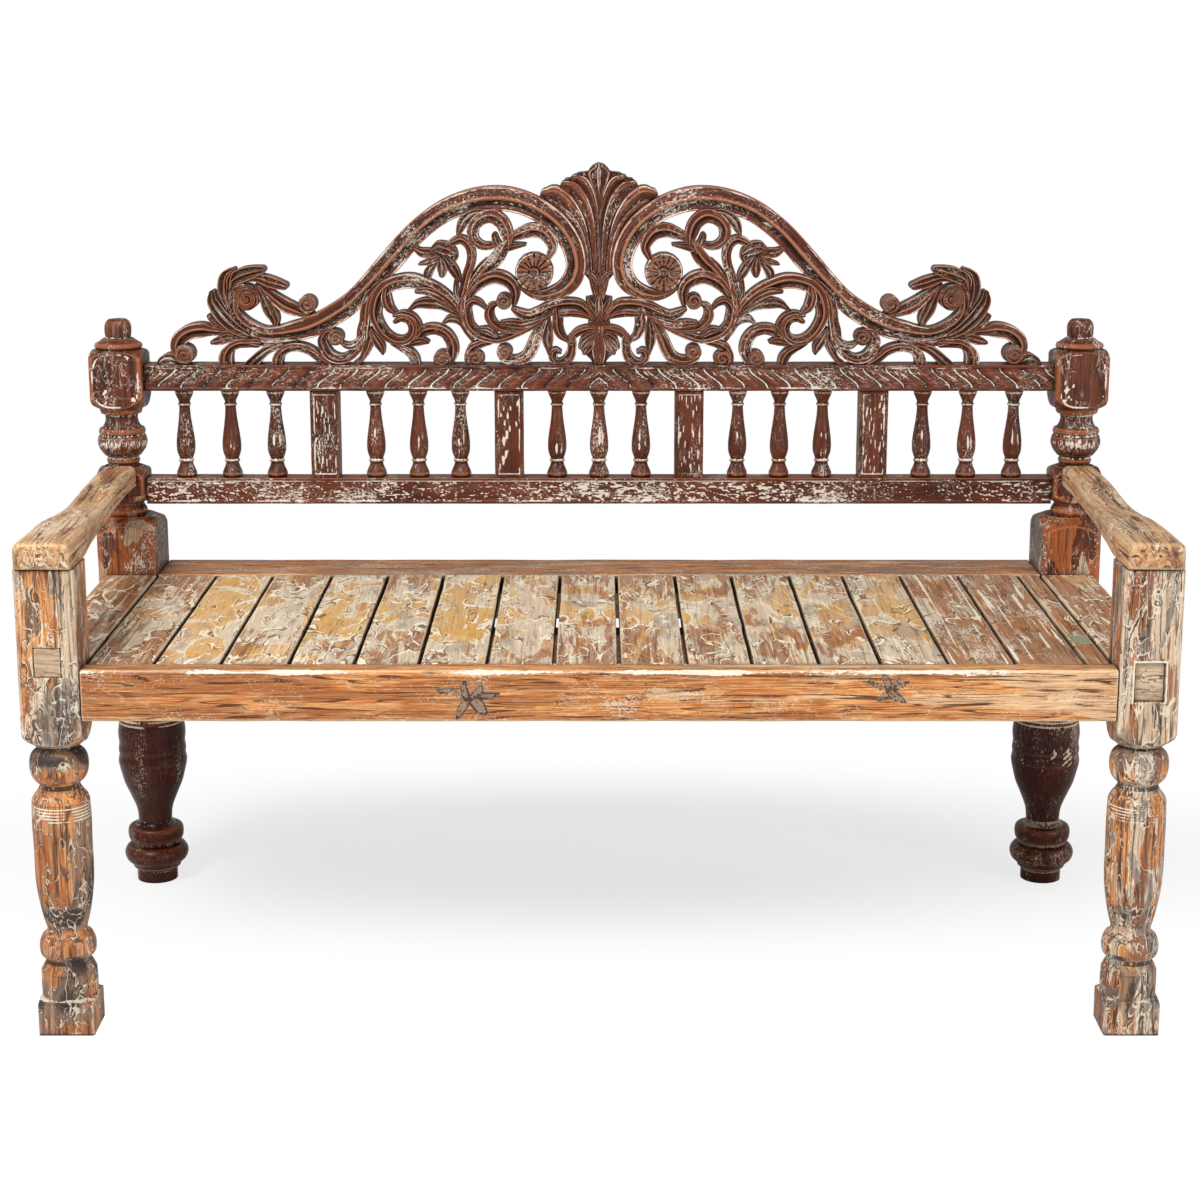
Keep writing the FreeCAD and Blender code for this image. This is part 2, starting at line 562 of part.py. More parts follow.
def back_frame_rail(name):
    bottom, height, depth, block = back_rails[name]
    half = back_post_x - block / 2
    rail = box(-half, half, back_post_y - depth / 2, back_post_y + depth / 2, bottom, bottom + height)
    for front in (-1, 1):
        field = box_about(0, back_post_y + front * depth / 2, 2 * (half + cut_overrun), 2 * rail_bead_step,
                          bottom + rail_bead, bottom + height - rail_bead)
        rail = rail.cut(field)
    rail = rail.fuse(slim_tenons(name, slim_tenon_length, 0)).removeSplitter()
    for side in sides.values():
        rail = rail.cut(rail_peg(name, side, clearance))
    return rail


# Pegs driven in from behind through the tenons
def rail_peg(rail, side, grow):
    bottom, height, depth, block = back_rails[rail]
    x = side * (back_post_x - block / 2 + slim_tenon_length / 2)
    length = block / 2 + slim_tenon_thickness / 2 + peg_past_tenon
    return pin_forward(x, bottom + height / 2, peg_diameter + 2 * grow, back_post_y + block / 2,
                       length + grow)


def seat_peg(side, grow):
    x = side * (rail_half_length + tenon_length / 2)
    z = (back_tenon_low + tenon_high) / 2
    length = seat_block_half + tenon_thickness / 2 + peg_past_tenon
    return pin_forward(x, z, peg_diameter + 2 * grow, back_post_y + seat_block_half, length + grow)


# Seat slats and what they lie on
def slat_edges():
    pitch = (seat_inner_width - slat_gap) / sum(slat_width_shares)
    x = -seat_inner_width / 2 + slat_gap
    edges = []
    for share in slat_width_shares:
        edges.append((x, x + share * pitch - slat_gap))
        x += share * pitch
    return edges


slat_front_y = post_front_y + front_rail_setback + front_rail_lip + slat_end_clearance
slat_back_y = seat_block_front_y - slat_end_clearance


def seat_slat(x_low, x_high):
    slat = box(x_low, x_high, slat_front_y, slat_back_y, slat_bottom, seat_height)
    middle = (slat_bottom + seat_height) / 2
    top_edges = [edge for edge in slat.Edges if edge.BoundBox.ZMin > middle]
    long_edges = [edge for edge in top_edges if edge.BoundBox.YLength > edge.BoundBox.XLength]
    return slat.makeFillet(slat_edge_round, long_edges)


def slat_bearer(y_low, width, height):
    return box(-rail_half_length, rail_half_length, y_low, y_low + width, slat_bottom - height, slat_bottom)


# Arms
def arm_tenon(side, length, grow):
    x = side * back_post_x
    y_face = back_post_y - lower_block_size / 2
    z = post_top + arm_tenon_lift + arm_tenon_height / 2
    half = arm_tenon_width / 2 + grow
    return box(x - half, x + half, y_face - cut_overrun, y_face + length,
               z - arm_tenon_height / 2 - grow, z + arm_tenon_height / 2 + grow)


def arm_section(x, y, width, height):
    """Upright section of an arm: flat underneath, with rounded top corners."""
    half = width / 2
    radius = min(arm_edge_radius, height / 2)
    z = post_top
    top = z + height
    bow = radius * (1 - math.sqrt(0.5))
    low_left = Vector(x - half, y, z)
    low_right = Vector(x + half, y, z)
    right_start = Vector(x + half, y, top - radius)
    right_end = Vector(x + half - radius, y, top)
    left_start = Vector(x - half + radius, y, top)
    left_end = Vector(x - half, y, top - radius)
    return Part.Wire([
        Part.LineSegment(low_left, low_right).toShape(),
        Part.LineSegment(low_right, right_start).toShape(),
        Part.Arc(right_start, Vector(x + half - bow, y, top - bow), right_end).toShape(),
        Part.LineSegment(right_end, left_start).toShape(),
        Part.Arc(left_start, Vector(x - half + bow, y, top - bow), left_end).toShape(),
        Part.LineSegment(left_end, low_left).toShape(),
    ])


def arm(side):
    y_front = post_front_y - arm_overhang
    length = back_post_y - lower_block_size / 2 - y_front
    sections = []
    for along, narrow, thick in arm_section_shares:
        width = arm_front_width + (arm_back_width - arm_front_width) * narrow
        x = side * (front_post_x + (back_post_x - front_post_x) * narrow)
        sections.append(arm_section(x, y_front + along * length, width, thick * arm_thickness))
    body = Part.makeLoft(sections, True, False)
    body = body.fuse(arm_tenon(side, arm_tenon_depth, 0)).removeSplitter()
    bore = pin_up(side * front_post_x, front_post_y, arm_tenon_diameter + 2 * clearance,
                  post_top - cut_overrun, post_top + arm_tenon_length + mortise_bottom_gap)
    return body.cut(bore)


# Balusters and muntins
def baluster_places():
    right = [share * back_half_width for share in baluster_place_shares]
    return sorted([-x for x in right if x > 0] + right)


def muntin_places():
    right = [share * back_half_width for share in muntin_place_shares]
    return sorted([-x for x in right] + right)


def baluster(x):
    height = rope_rail_bottom - lower_rail_top
    body = turned(baluster_shares, x, back_post_y, lower_rail_top, height, baluster_diameter)
    return body.fuse(baluster_tenon(x, 0)).removeSplitter()


def baluster_tenon(x, grow):
    return pin_up(x, back_post_y, baluster_tenon_diameter + 2 * grow,
                  lower_rail_top - baluster_tenon_length - grow,
                  rope_rail_bottom + baluster_tenon_length + grow)


def muntin_tenons(x, grow):
    return box_about(x, back_post_y, muntin_width / 2 + 2 * grow, slim_tenon_thickness + 2 * grow,
                     lower_rail_top - muntin_tenon - grow, rope_rail_bottom + muntin_tenon + grow)


def muntin(x):
    body = box_about(x, back_post_y, muntin_width, muntin_depth, lower_rail_top, rope_rail_bottom)
    for front in (-1, 1):
        y_face = back_post_y + front * muntin_depth / 2
        body = body.cut(box_about(x, y_face, muntin_width - 2 * rail_bead, 2 * muntin_field_step,
                                  lower_rail_top + rail_bead, rope_rail_bottom - rail_bead))
    return body.fuse(muntin_tenons(x, 0)).removeSplitter()


def bored_rail(name):
    rail = back_frame_rail(name)
    bores = [baluster_tenon(x, clearance) for x in baluster_places()]
    bores += [muntin_tenons(x, clearance) for x in muntin_places()]
    if name == "rope_rail":
        bores += [crest_dowel(x, clearance) for x in crest_dowel_places()]
    return rail.cut(Part.makeCompound(bores))


# Crest
def crest_point(out, up):
    """Place on the left half of the crest, in squares of the carver's template."""
    x = -out * crest_half_width * square_out_share
    return Vector(x, 0, rope_rail_top + up * crest_height * square_up_share)


def stroke_face(points):
    """Flat shape of one stem or leaf, from its middle line and widths in squares."""
    square = crest_half_width * square_out_share
    middle = [crest_point(out, up) for out, up, width in points]
    line = Part.BSplineCurve()
    line.interpolate(middle)
    one_side = []
    other_side = []
    for place, (out, up, width) in zip(middle, points):
        along = line.tangent(line.parameter(place))[0]
        across = Vector(-along.z, 0, along.x) * (width * square / 2)
        one_side.append(place + across)
        other_side.append(place - across)
    start = middle[0] - line.tangent(line.FirstParameter)[0] * (points[0][2] * square / 2)
    end = middle[-1] + line.tangent(line.LastParameter)[0] * (points[-1][2] * square / 2)
    wire = Part.Wire([
        smooth_edge(one_side),
        Part.Arc(one_side[-1], end, other_side[-1]).toShape(),
        smooth_edge(other_side[::-1]),
        Part.Arc(other_side[0], start, one_side[0]).toShape(),
    ])
    return Part.Face(wire)


def disc_face(out, up, radius):
    square = crest_half_width * square_out_share
    circle = Part.Circle(crest_point(out, up), Vector(0, 1, 0), radius * square)
    return Part.Face(Part.Wire(circle.toShape()))


def outline_face(runs):
    """Flat shape, alike on both sides of the centre line, from runs of points up its left side."""
    edges = []
    for run in runs:
        right = [crest_point(-out, up) for out, up in run]
        left = [crest_point(out, up) for out, up in run]
        edges.append(smooth_edge(left))
        edges.append(smooth_edge(right))
    bottom = runs[0][0]
    top = runs[-1][-1]
    for out, up in (bottom, top):
        if out > 0:
            edges.append(smooth_edge([crest_point(out, up), crest_point(-out, up)]))
    return Part.Face(Part.Wire(Part.__sortEdges__(edges)))


def crest_window():
    """The part of the crest's plane above the rail, left of the centre line."""
    far = 2 * crest_half_width
    low = rope_rail_top
    corners = [Vector(0, 0, low), Vector(-far, 0, low), Vector(-far, 0, low + far), Vector(0, 0, low + far)]
    return Part.Face(Part.makePolygon(corners + corners[:1]))


def mirrored(shape):
    return shape.mirror(Vector(0, 0, 0), Vector(1, 0, 0))


def crest_flat():
    """Flat shape of the left board: the main band with all stems, leaves and volutes."""
    strokes = [stroke_face(points) for points in stroke_shares.values()]
    discs = [disc_face(*disc) for disc in disc_shares.values()]
    flat = stroke_face(band_shares).fuse(strokes + discs).common(crest_window())
    return Part.Shell(flat.Faces).removeSplitter()


def crest_slab(flat):
    slabs = []
    for face in flat.Faces:
        solid = face.extrude(Vector(0, crest_thickness, 0))
        solid.translate(Vector(0, back_post_y - crest_thickness / 2, 0))
        slabs.append(solid)
    return Part.makeCompound(slabs)


def crest_dowel_places():
    out = [share * crest_half_width * square_out_share for share in crest_dowel_shares]
    return sorted([-x for x in out if x > 0] + out)


def crest_dowel(x, grow):
    return pin_up(x, back_post_y, crest_dowel_diameter + 2 * grow, rope_rail_top - crest_dowel_down - grow,
                  rope_rail_top + crest_dowel_up + grow)


# All pieces
def build():
    for name, side in sides.items():
        save("front_post_" + name, front_post(side))
        save("back_post_" + name, back_post(side))
        save("back_leg_" + name, back_leg(side))
        save("side_rail_" + name, side_rail(side))
        save("arm_" + name, arm(side))
        save("mortise_plug_" + name, mortise_plug(name))
    save("front_rail", front_rail())
    save("back_rail", back_rail())
    save("slat_ledger", slat_bearer(seat_block_front_y - ledger_width, ledger_width, ledger_height))
    bearer_y = (slat_front_y + slat_back_y - bearer_width) / 2
    save("slat_bearer", slat_bearer(bearer_y, bearer_width, bearer_height))
    for number, (x_low, x_high) in enumerate(slat_edges(), 1):
        save("seat_slat_%02d" % number, seat_slat(x_low, x_high))
    for name in back_rails:
        save(name, bored_rail(name))
    for number, x in enumerate(baluster_places(), 1):
        save("baluster_%02d" % number, baluster(x))
    for number, x in enumerate(muntin_places(), 1):
        save("muntin_%d" % number, muntin(x))
    dowels = Part.makeCompound([crest_dowel(x, 0) for x in crest_dowel_places()])
    bores = Part.makeCompound([crest_dowel(x, clearance) for x in crest_dowel_places()])
    flat = crest_flat()
    board = crest_slab(flat)
    centre = crest_slab(outline_face(centre_shares).cut([flat, mirrored(flat)]))
    save("crest_left", board.cut(bores))
    save("crest_right", mirrored(board).cut(bores))
    save("crest_centre", centre.cut(bores))
    save("crest_dowels", dowels)
    pegs = [rail_peg(rail, side, 0) for rail in back_rails for side in sides.values()]
    save("rail_pegs", Part.makeCompound(pegs))
    save("seat_pegs", Part.makeCompound([seat_peg(side, 0) for side in sides.values()]))


build()
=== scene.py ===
import json
import math

import bpy
import numpy as np
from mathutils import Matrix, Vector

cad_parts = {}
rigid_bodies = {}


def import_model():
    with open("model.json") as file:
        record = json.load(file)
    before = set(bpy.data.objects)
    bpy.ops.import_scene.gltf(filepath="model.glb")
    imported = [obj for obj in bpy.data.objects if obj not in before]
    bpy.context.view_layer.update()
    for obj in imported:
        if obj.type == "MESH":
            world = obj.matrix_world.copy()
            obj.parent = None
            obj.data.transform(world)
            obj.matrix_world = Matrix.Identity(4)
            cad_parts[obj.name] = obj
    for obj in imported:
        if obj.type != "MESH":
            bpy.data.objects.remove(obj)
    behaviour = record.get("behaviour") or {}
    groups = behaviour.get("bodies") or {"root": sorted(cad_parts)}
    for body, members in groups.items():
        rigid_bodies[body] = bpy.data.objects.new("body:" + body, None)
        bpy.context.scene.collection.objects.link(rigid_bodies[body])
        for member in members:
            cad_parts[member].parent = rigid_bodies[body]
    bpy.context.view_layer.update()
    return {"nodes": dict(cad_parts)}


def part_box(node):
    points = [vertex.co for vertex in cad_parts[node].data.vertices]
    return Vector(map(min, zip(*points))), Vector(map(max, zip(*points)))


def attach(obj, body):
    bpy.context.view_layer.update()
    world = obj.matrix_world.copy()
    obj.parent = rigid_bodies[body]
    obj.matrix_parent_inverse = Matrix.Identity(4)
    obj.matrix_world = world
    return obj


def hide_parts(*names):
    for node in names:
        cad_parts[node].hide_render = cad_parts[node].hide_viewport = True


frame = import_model()

bench = {
    "postSpacing": 0.574,
    "backPostAxisX": 0.6985,
    "ropeRailTop": 0.788,
    "crestHalfWidth": 0.641,
    "crestHeight": 0.288,
    "crestThickness": 0.036,
}
mm = 0.001
fullTurn = 2 * math.pi
reliefLimit = 6        # millimetres


def nodeBox(node):
    low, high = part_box(node)
    return np.array(low, float), np.array(high, float)


frontPostLow, frontPostHigh = nodeBox("front_post_right")
frontPostSize = frontPostHigh[0] - frontPostLow[0]
frontPostX = (frontPostLow[0] + frontPostHigh[0]) / 2
frontPostY = (frontPostLow[1] + frontPostHigh[1]) / 2
backPostY = frontPostY + bench["postSpacing"]
sides = {"left": -1, "right": 1}


def boxSection(low, high, first, second):
    # four corners of a node's box in two of its axes
    return [(low[first], low[second]), (high[first], low[second]), (high[first], high[second]),
            (low[first], high[second])]


def seedOffset(seed):
    # a place of its own in the grain for each piece
    return (seed * 0.731 % 3, seed * 0.377 % 3, seed * 0.173 % 3)


def within(value):
    # held between 0 and 1
    return np.clip(value, 0, 1)


def near(value, place, width):
    # soft line: 1 at a place, fading over a width
    return np.exp(-((value - place) / width) ** 2)


def strongest(*layers):
    total = layers[0]
    for layer in layers[1:]:
        total = np.maximum(total, layer)
    return total


def runLength(line):
    return np.concatenate([[0], np.cumsum(np.linalg.norm(np.diff(line, axis=0), axis=1))])


# Curves and skins
def curveThrough(points, count):
    # smooth curve through rows of numbers, spaced by their distance
    points = np.array(points, float)
    if len(points) == 2:
        share = np.linspace(0, 1, count)[:, None]
        return points[0] * (1 - share) + points[1] * share
    step = np.maximum(np.linalg.norm(np.diff(points, axis=0), axis=1), 1e-9)
    place = np.concatenate([[0], np.cumsum(step)])
    slope = np.gradient(points, place, axis=0)
    at = np.linspace(0, place[-1], count)
    cell = np.clip(np.searchsorted(place, at, side="right") - 1, 0, len(points) - 2)
    width = (place[cell + 1] - place[cell])[:, None]
    s = ((at - place[cell])[:, None]) / width
    first = (2 * s ** 3 - 3 * s ** 2 + 1) * points[cell] + (s ** 3 - 2 * s ** 2 + s) * width * slope[cell]
    second = (3 * s ** 2 - 2 * s ** 3) * points[cell + 1] + (s ** 3 - s ** 2) * width * slope[cell + 1]
    return first + second


def wobble(points, size, seed, waves=7):
    # soft random swell between about -1 and 1, with bumps of the given size
    dice = np.random.RandomState(seed)
    total = np.zeros(points.shape[:-1])
    for _ in range(waves):
        direction = dice.normal(size=3)
        direction *= dice.uniform(0.6, 1.6) * math.pi / size / np.linalg.norm(direction)
        total += np.sin(points @ direction + dice.uniform(0, fullTurn))
    return total / math.sqrt(waves)


def gridNormals(rings):
    around = np.roll(rings, -1, axis=1) - np.roll(rings, 1, axis=1)
    along = np.gradient(rings, axis=0)
    normals = np.cross(around, along)
    length = np.linalg.norm(normals, axis=2, keepdims=True)
    normals = normals / np.maximum(length, 1e-12)
    outward = rings - rings.mean(axis=1, keepdims=True)
    if (normals * outward).sum() < 0:
        normals = -normals
    return normals


def gridRelief(rings, reach):
    # how far each point stands out (+) or lies back (-) from its neighbours, in millimetres
    normals = gridNormals(rings)
    total = np.zeros(rings.shape[:2])
    for axis in (0, 1):
        gap = np.linalg.norm(np.diff(rings, axis=axis), axis=2)
        typical = max(float(np.median(gap)), 1e-5)
        shift = max(1, int(round(reach / typical)))
        if axis == 0:
            padded = np.pad(rings, ((shift, shift), (0, 0), (0, 0)), mode="edge")
            before, after = padded[:-2 * shift], padded[2 * shift:]
        else:
            before, after = np.roll(rings, shift, axis=1), np.roll(rings, -shift, axis=1)
        total += ((rings - (before + after) / 2) * normals).sum(axis=2)
    return np.clip(total / mm, -reliefLimit, reliefLimit)


layerDefaults = {"relief": 0.0, "paint": 0.5, "mark": 0.0, "shade": 0.0, "tone": 0.5}


def skinPart(rings, grainAxis, grainOffset=(0, 0, 0), reach=2.5 * mm, way=None, **layers):
    # closed skin over rings of points, with its grain space and the layers the materials read
    rings = np.array(rings, float)
    count, around = rings.shape[:2]
    if "relief" not in layers:
        layers["relief"] = gridRelief(rings, reach)
    points = rings.reshape(-1, 3)
    index = np.arange(count * around).reshape(count, around)
    after = np.roll(index, -1, axis=1)
    quads = np.stack([index[:-1], after[:-1], after[1:], index[1:]], axis=-1).reshape(-1, 4)
    first, last = len(points), len(points) + 1
    caps = np.vstack([np.stack([after[0], index[0], np.full(around, first)], axis=1),
                      np.stack([index[-1], after[-1], np.full(around, last)], axis=1)])
    points = np.vstack([points, rings[0].mean(axis=0), rings[-1].mean(axis=0)])
    order = {"x": (0, 2, 1), "y": (1, 0, 2), "z": (2, 0, 1)}[grainAxis]
    grain = points[:, order]
    if way is not None:
        grain = np.vstack([way.reshape(-1, 3), way[0].mean(axis=0), way[-1].mean(axis=0)])
    part = {"points": points, "quads": quads, "caps": caps, "grain": grain + np.array(grainOffset)}
    for name, usual in layerDefaults.items():
        value = np.array(layers.get(name, usual), float) * np.ones((count, around))
        part[name] = np.concatenate([value.ravel(), [value[0].mean(), value[-1].mean()]])
    a, b, c = (points[quads[:, corner]] for corner in range(3))
    if (np.cross(b - a, c - a) * (a - points.mean(axis=0))).sum() < 0:
        part["quads"], part["caps"] = quads[:, ::-1], caps[:, ::-1]
    return part


def makePiece(parts, node, material, name=None):
    # joins skin parts into one object that stands for a node and is named after it
    first, *rest = node.split("_")
    name = name or first + "".join(word.capitalize() for word in rest)
    starts = np.cumsum([0] + [len(part["points"]) for part in parts])
    quads = np.vstack([part["quads"] + start for part, start in zip(parts, starts)])
    caps = np.vstack([part["caps"] + start for part, start in zip(parts, starts)])
    points = np.vstack([part["points"] for part in parts])
    mesh = bpy.data.meshes.new(name)
    mesh.vertices.add(len(points))
    mesh.vertices.foreach_set("co", points.astype(np.float32).ravel())
    mesh.loops.add(quads.size + caps.size)
    mesh.loops.foreach_set("vertex_index", np.concatenate([quads.ravel(), caps.ravel()]).astype(np.int32))
    mesh.polygons.add(len(quads) + len(caps))
    faceStarts = np.concatenate([np.arange(len(quads)) * 4, quads.size + np.arange(len(caps)) * 3])
    mesh.polygons.foreach_set("loop_start", faceStarts.astype(np.int32))
    mesh.polygons.foreach_set("use_smooth", np.ones(len(faceStarts), dtype=bool))
    for layer in layerDefaults:
        store = mesh.attributes.new(layer, "FLOAT", "POINT")
        store.data.foreach_set("value", np.concatenate([part[layer] for part in parts]).astype(np.float32))
    space = mesh.attributes.new("grainSpace", "FLOAT_VECTOR", "POINT")
    grain = np.vstack([part["grain"] for part in parts])
    space.data.foreach_set("vector", grain.astype(np.float32).ravel())
    mesh.materials.append(material)
    mesh.update(calc_edges=True)
    piece = bpy.data.objects.new(name, mesh)
    bpy.context.scene.collection.objects.link(piece)
    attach(piece, "root")
    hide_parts(node)


def roundedOutline(corners, radius, spacing):
    # closed outline of a board's section with rounded corners, evenly spaced points
    corners = np.array(corners, float)
    line = []
    for i, corner in enumerate(corners):
        before, after = corners[i - 1], corners[(i + 1) % len(corners)]
        arrive, leave = before - corner, after - corner
        cut = min(radius, 0.45 * np.linalg.norm(arrive), 0.45 * np.linalg.norm(leave))
        start = corner + arrive / np.linalg.norm(arrive) * cut
        end = corner + leave / np.linalg.norm(leave) * cut
        for share in np.linspace(0, 1, 5):
            line.append(start * (1 - share) ** 2 + corner * 2 * share * (1 - share) + end * share ** 2)
    line = np.array(line + line[:1])
    place = runLength(line)
    count = max(12, int(round(place[-1] / spacing)))
    at = np.linspace(0, place[-1], count, endpoint=False)
    return np.stack([np.interp(at, place, line[:, k]) for k in range(line.shape[1])], axis=1)


def shrunk(section, amount):
    middle = (section.max(axis=0) + section.min(axis=0)) / 2
    half = (section.max(axis=0) - section.min(axis=0)) / 2
    return middle + (section - middle) * (1 - amount / half)


def extruded(section, axis, low, high, step, endRound):
    # rings of a board along an axis, its ends slightly rounded; section holds the other two axes
    count = max(3, int(round((high - low) / step)))
    rings = []
    ends = [(0, 1.0), (0.12, 0.5), (0.45, 0.15), (1.0, 0.0)]
    stations = [(low + endRound * along, endRound * inward) for along, inward in ends]
    stations += [(place, 0) for place in np.linspace(low + endRound, high - endRound, count)[1:-1]]
    stations += [(high - endRound * along, endRound * inward) for along, inward in ends[::-1]]
    for place, inward in stations:
        ring = shrunk(section, inward) if inward > 0 else section
        rings.append(np.insert(ring, axis, place, axis=1))
    return np.array(rings)


def worn(rings, amount, size, seed):
    # hand-worked surface: soft dents, never standing out of the board it follows
    normals = gridNormals(rings)
    dent = amount * (0.5 - 0.25 * wobble(rings, size, seed)).clip(0, 1)
    return rings - normals * dent[:, :, None]


def turnedProfile(shareRuns, low, height, diameter, step):
    # lathe profile, rows of (height, radius), from runs of (height share, diameter share)
    profile = []
    for run in shareRuns:
        scaled = np.array(run) * (height, diameter / 2) + (low, 0)
        profile.append(curveThrough(scaled, max(3, int(runLength(scaled)[-1] / step) + 1)))
    return np.vstack(profile)


def turnedRings(shareRuns, x, y, low, height, diameter, step, around):
    # rings of a turned piece
    profile = turnedProfile(shareRuns, low, height, diameter, step)
    angle = np.linspace(0, fullTurn, around, endpoint=False)
    wide = profile[:, 1][:, None]
    return np.stack([x + wide * np.cos(angle), y + wide * np.sin(angle),
                     np.repeat(profile[:, :1], around, axis=1)], axis=2)


cornerPower = 26       # high power: squared section with only slightly worn corners


def postRings(stations, x, y, around=128, extraAngles=()):
    # rings of a post from stations (height, lathe radius, half width, half depth, shift in X)
    angle = np.linspace(-math.pi, math.pi, around, endpoint=False)
    angle = np.sort(np.concatenate([angle, extraAngles]))
    around = len(angle)
    rings = []
    for z, radius, halfWide, halfDeep, shiftX in stations:
        reach = np.full(around, radius)
        if halfWide > 0:
            wide = np.abs(np.cos(angle)) / halfWide
            deep = np.abs(np.sin(angle)) / halfDeep
            square = (wide ** cornerPower + deep ** cornerPower) ** (-1 / cornerPower)
            reach = np.minimum(reach, square)
        rings.append(np.stack([x + shiftX + reach * np.cos(angle), y + reach * np.sin(angle),
                               np.full(around, z)], axis=1))
    return np.array(rings)


def turnedStations(shareRuns, low, height, diameter, shiftX=0, step=1.4 * mm):
    return [(z, radius, 0, 0, shiftX) for z, radius in turnedProfile(shareRuns, low, height, diameter, step)]


blockTurning = {"neck": 0.40, "bulgePlace": 0.35, "rows": 26}


def blockStations(low, high, sizeX, sizeY, lowShoulder, highShoulder, shiftX=0, step=3 * mm):
    # a squared block whose ends are turned down to round shoulders
    neck = blockTurning["neck"] * sizeX
    corner = math.hypot(sizeX, sizeY) / 2
    bulge = (neck + corner) / 2
    share, rows = blockTurning["bulgePlace"], blockTurning["rows"]
    stations = []
    if lowShoulder > 0:
        rise = [(low, neck), (low + share * lowShoulder, bulge), (low + lowShoulder, corner)]
        stations += [(z, radius, sizeX / 2, sizeY / 2, shiftX) for z, radius in curveThrough(rise, rows)]
    start, end = low + lowShoulder, high - highShoulder
    for z in np.linspace(start, end, max(4, int((end - start) / step))):
        stations.append((z, 2 * corner, sizeX / 2, sizeY / 2, shiftX))
    if highShoulder > 0:
        fall = [(end, corner), (high - share * highShoulder, bulge), (high, neck)]
        stations += [(z, radius, sizeX / 2, sizeY / 2, shiftX) for z, radius in curveThrough(fall, rows)]
    return stations


# Turned profiles: runs of (share of the height, share of the diameter)
frontLegShares = (
    ((0.00, 0.95), (0.06, 0.965), (0.11, 0.95)),
    ((0.11, 0.95), (0.13, 0.86), (0.145, 0.77)),
    ((0.155, 0.77), (0.165, 0.90), (0.195, 0.975), (0.225, 0.93), (0.24, 0.86)),
    ((0.24, 0.86), (0.25, 0.74), (0.262, 0.68)),
    ((0.262, 0.68), (0.32, 0.82), (0.41, 0.96), (0.58, 1.0), (0.70, 1.0), (0.735, 0.985)),
    ((0.735, 0.985), (0.75, 0.93), (0.77, 0.78), (0.785, 0.69)),
    ((0.795, 0.69), (0.815, 0.88), (0.865, 1.0), (0.905, 0.92), (0.93, 0.66)),
    ((0.94, 0.64), (1.0, 0.64)),
)
backLegShares = (
    ((0.00, 0.58), (0.04, 0.585), (0.058, 0.59)),
    ((0.068, 0.68), (0.085, 0.72)),
    ((0.085, 0.72), (0.11, 0.87), (0.147, 0.92), (0.178, 0.82), (0.19, 0.66)),
    ((0.20, 0.64), (0.208, 0.75), (0.235, 0.80), (0.275, 0.76), (0.288, 0.56)),
    ((0.305, 0.48), (0.36, 0.51), (0.445, 0.69), (0.503, 0.835), (0.575, 0.945)),
    ((0.59, 0.965), (0.615, 0.985), (0.64, 0.965)),
    ((0.65, 0.95), (0.675, 0.97), (0.70, 0.95)),
    ((0.71, 0.945), (0.76, 0.97), (0.80, 0.945)),
    ((0.81, 0.93), (0.83, 0.955), (0.85, 0.93)),
    ((0.86, 0.90), (0.92, 0.80), (0.96, 0.72), (1.0, 0.72)),
)
postRingShares = (
    ((-0.32, 0.80), (0.00, 0.84)),
    ((0.00, 0.84), (0.32, 0.89), (0.72, 0.80)),
    ((0.80, 0.77), (1.43, 0.77)),
)
postVaseShares = (
    ((-0.06, 0.62), (0.023, 0.62)),
    ((0.036, 0.62), (0.098, 0.67), (0.159, 0.62)),
    ((0.183, 0.72), (0.302, 0.92), (0.422, 1.0), (0.524, 0.95)),
    ((0.548, 0.89), (0.609, 0.935), (0.667, 0.89)),
    ((0.684, 0.78), (0.763, 0.68), (0.848, 0.645), (0.91, 0.68)),
    ((0.923, 0.80), (0.985, 0.85), (1.053, 0.80)),
)
postFinialShares = (
    ((-0.105, 0.84), (-0.022, 0.90)),
    ((-0.022, 0.90), (0.075, 0.96), (0.172, 0.91)),
    ((0.206, 0.82), (0.344, 0.60)),
    ((0.358, 0.51), (0.586, 0.535), (0.827, 0.51), (0.931, 0.45), (1.0, 0.36)),
)
balusterShares = (
    ((0.00, 0.90), (0.035, 1.0), (0.077, 0.90), (0.119, 0.74), (0.16, 0.63)),
    ((0.167, 0.66), (0.188, 0.77), (0.209, 0.66)),
    ((0.215, 0.66), (0.235, 0.73), (0.286, 0.87), (0.37, 0.92), (0.48, 0.84), (0.593, 0.70),
     (0.704, 0.58), (0.805, 0.52)),
    ((0.813, 0.55), (0.832, 0.65), (0.851, 0.55)),
    ((0.86, 0.54), (0.886, 0.62), (0.927, 0.78), (0.97, 0.90), (1.0, 0.90)),
)


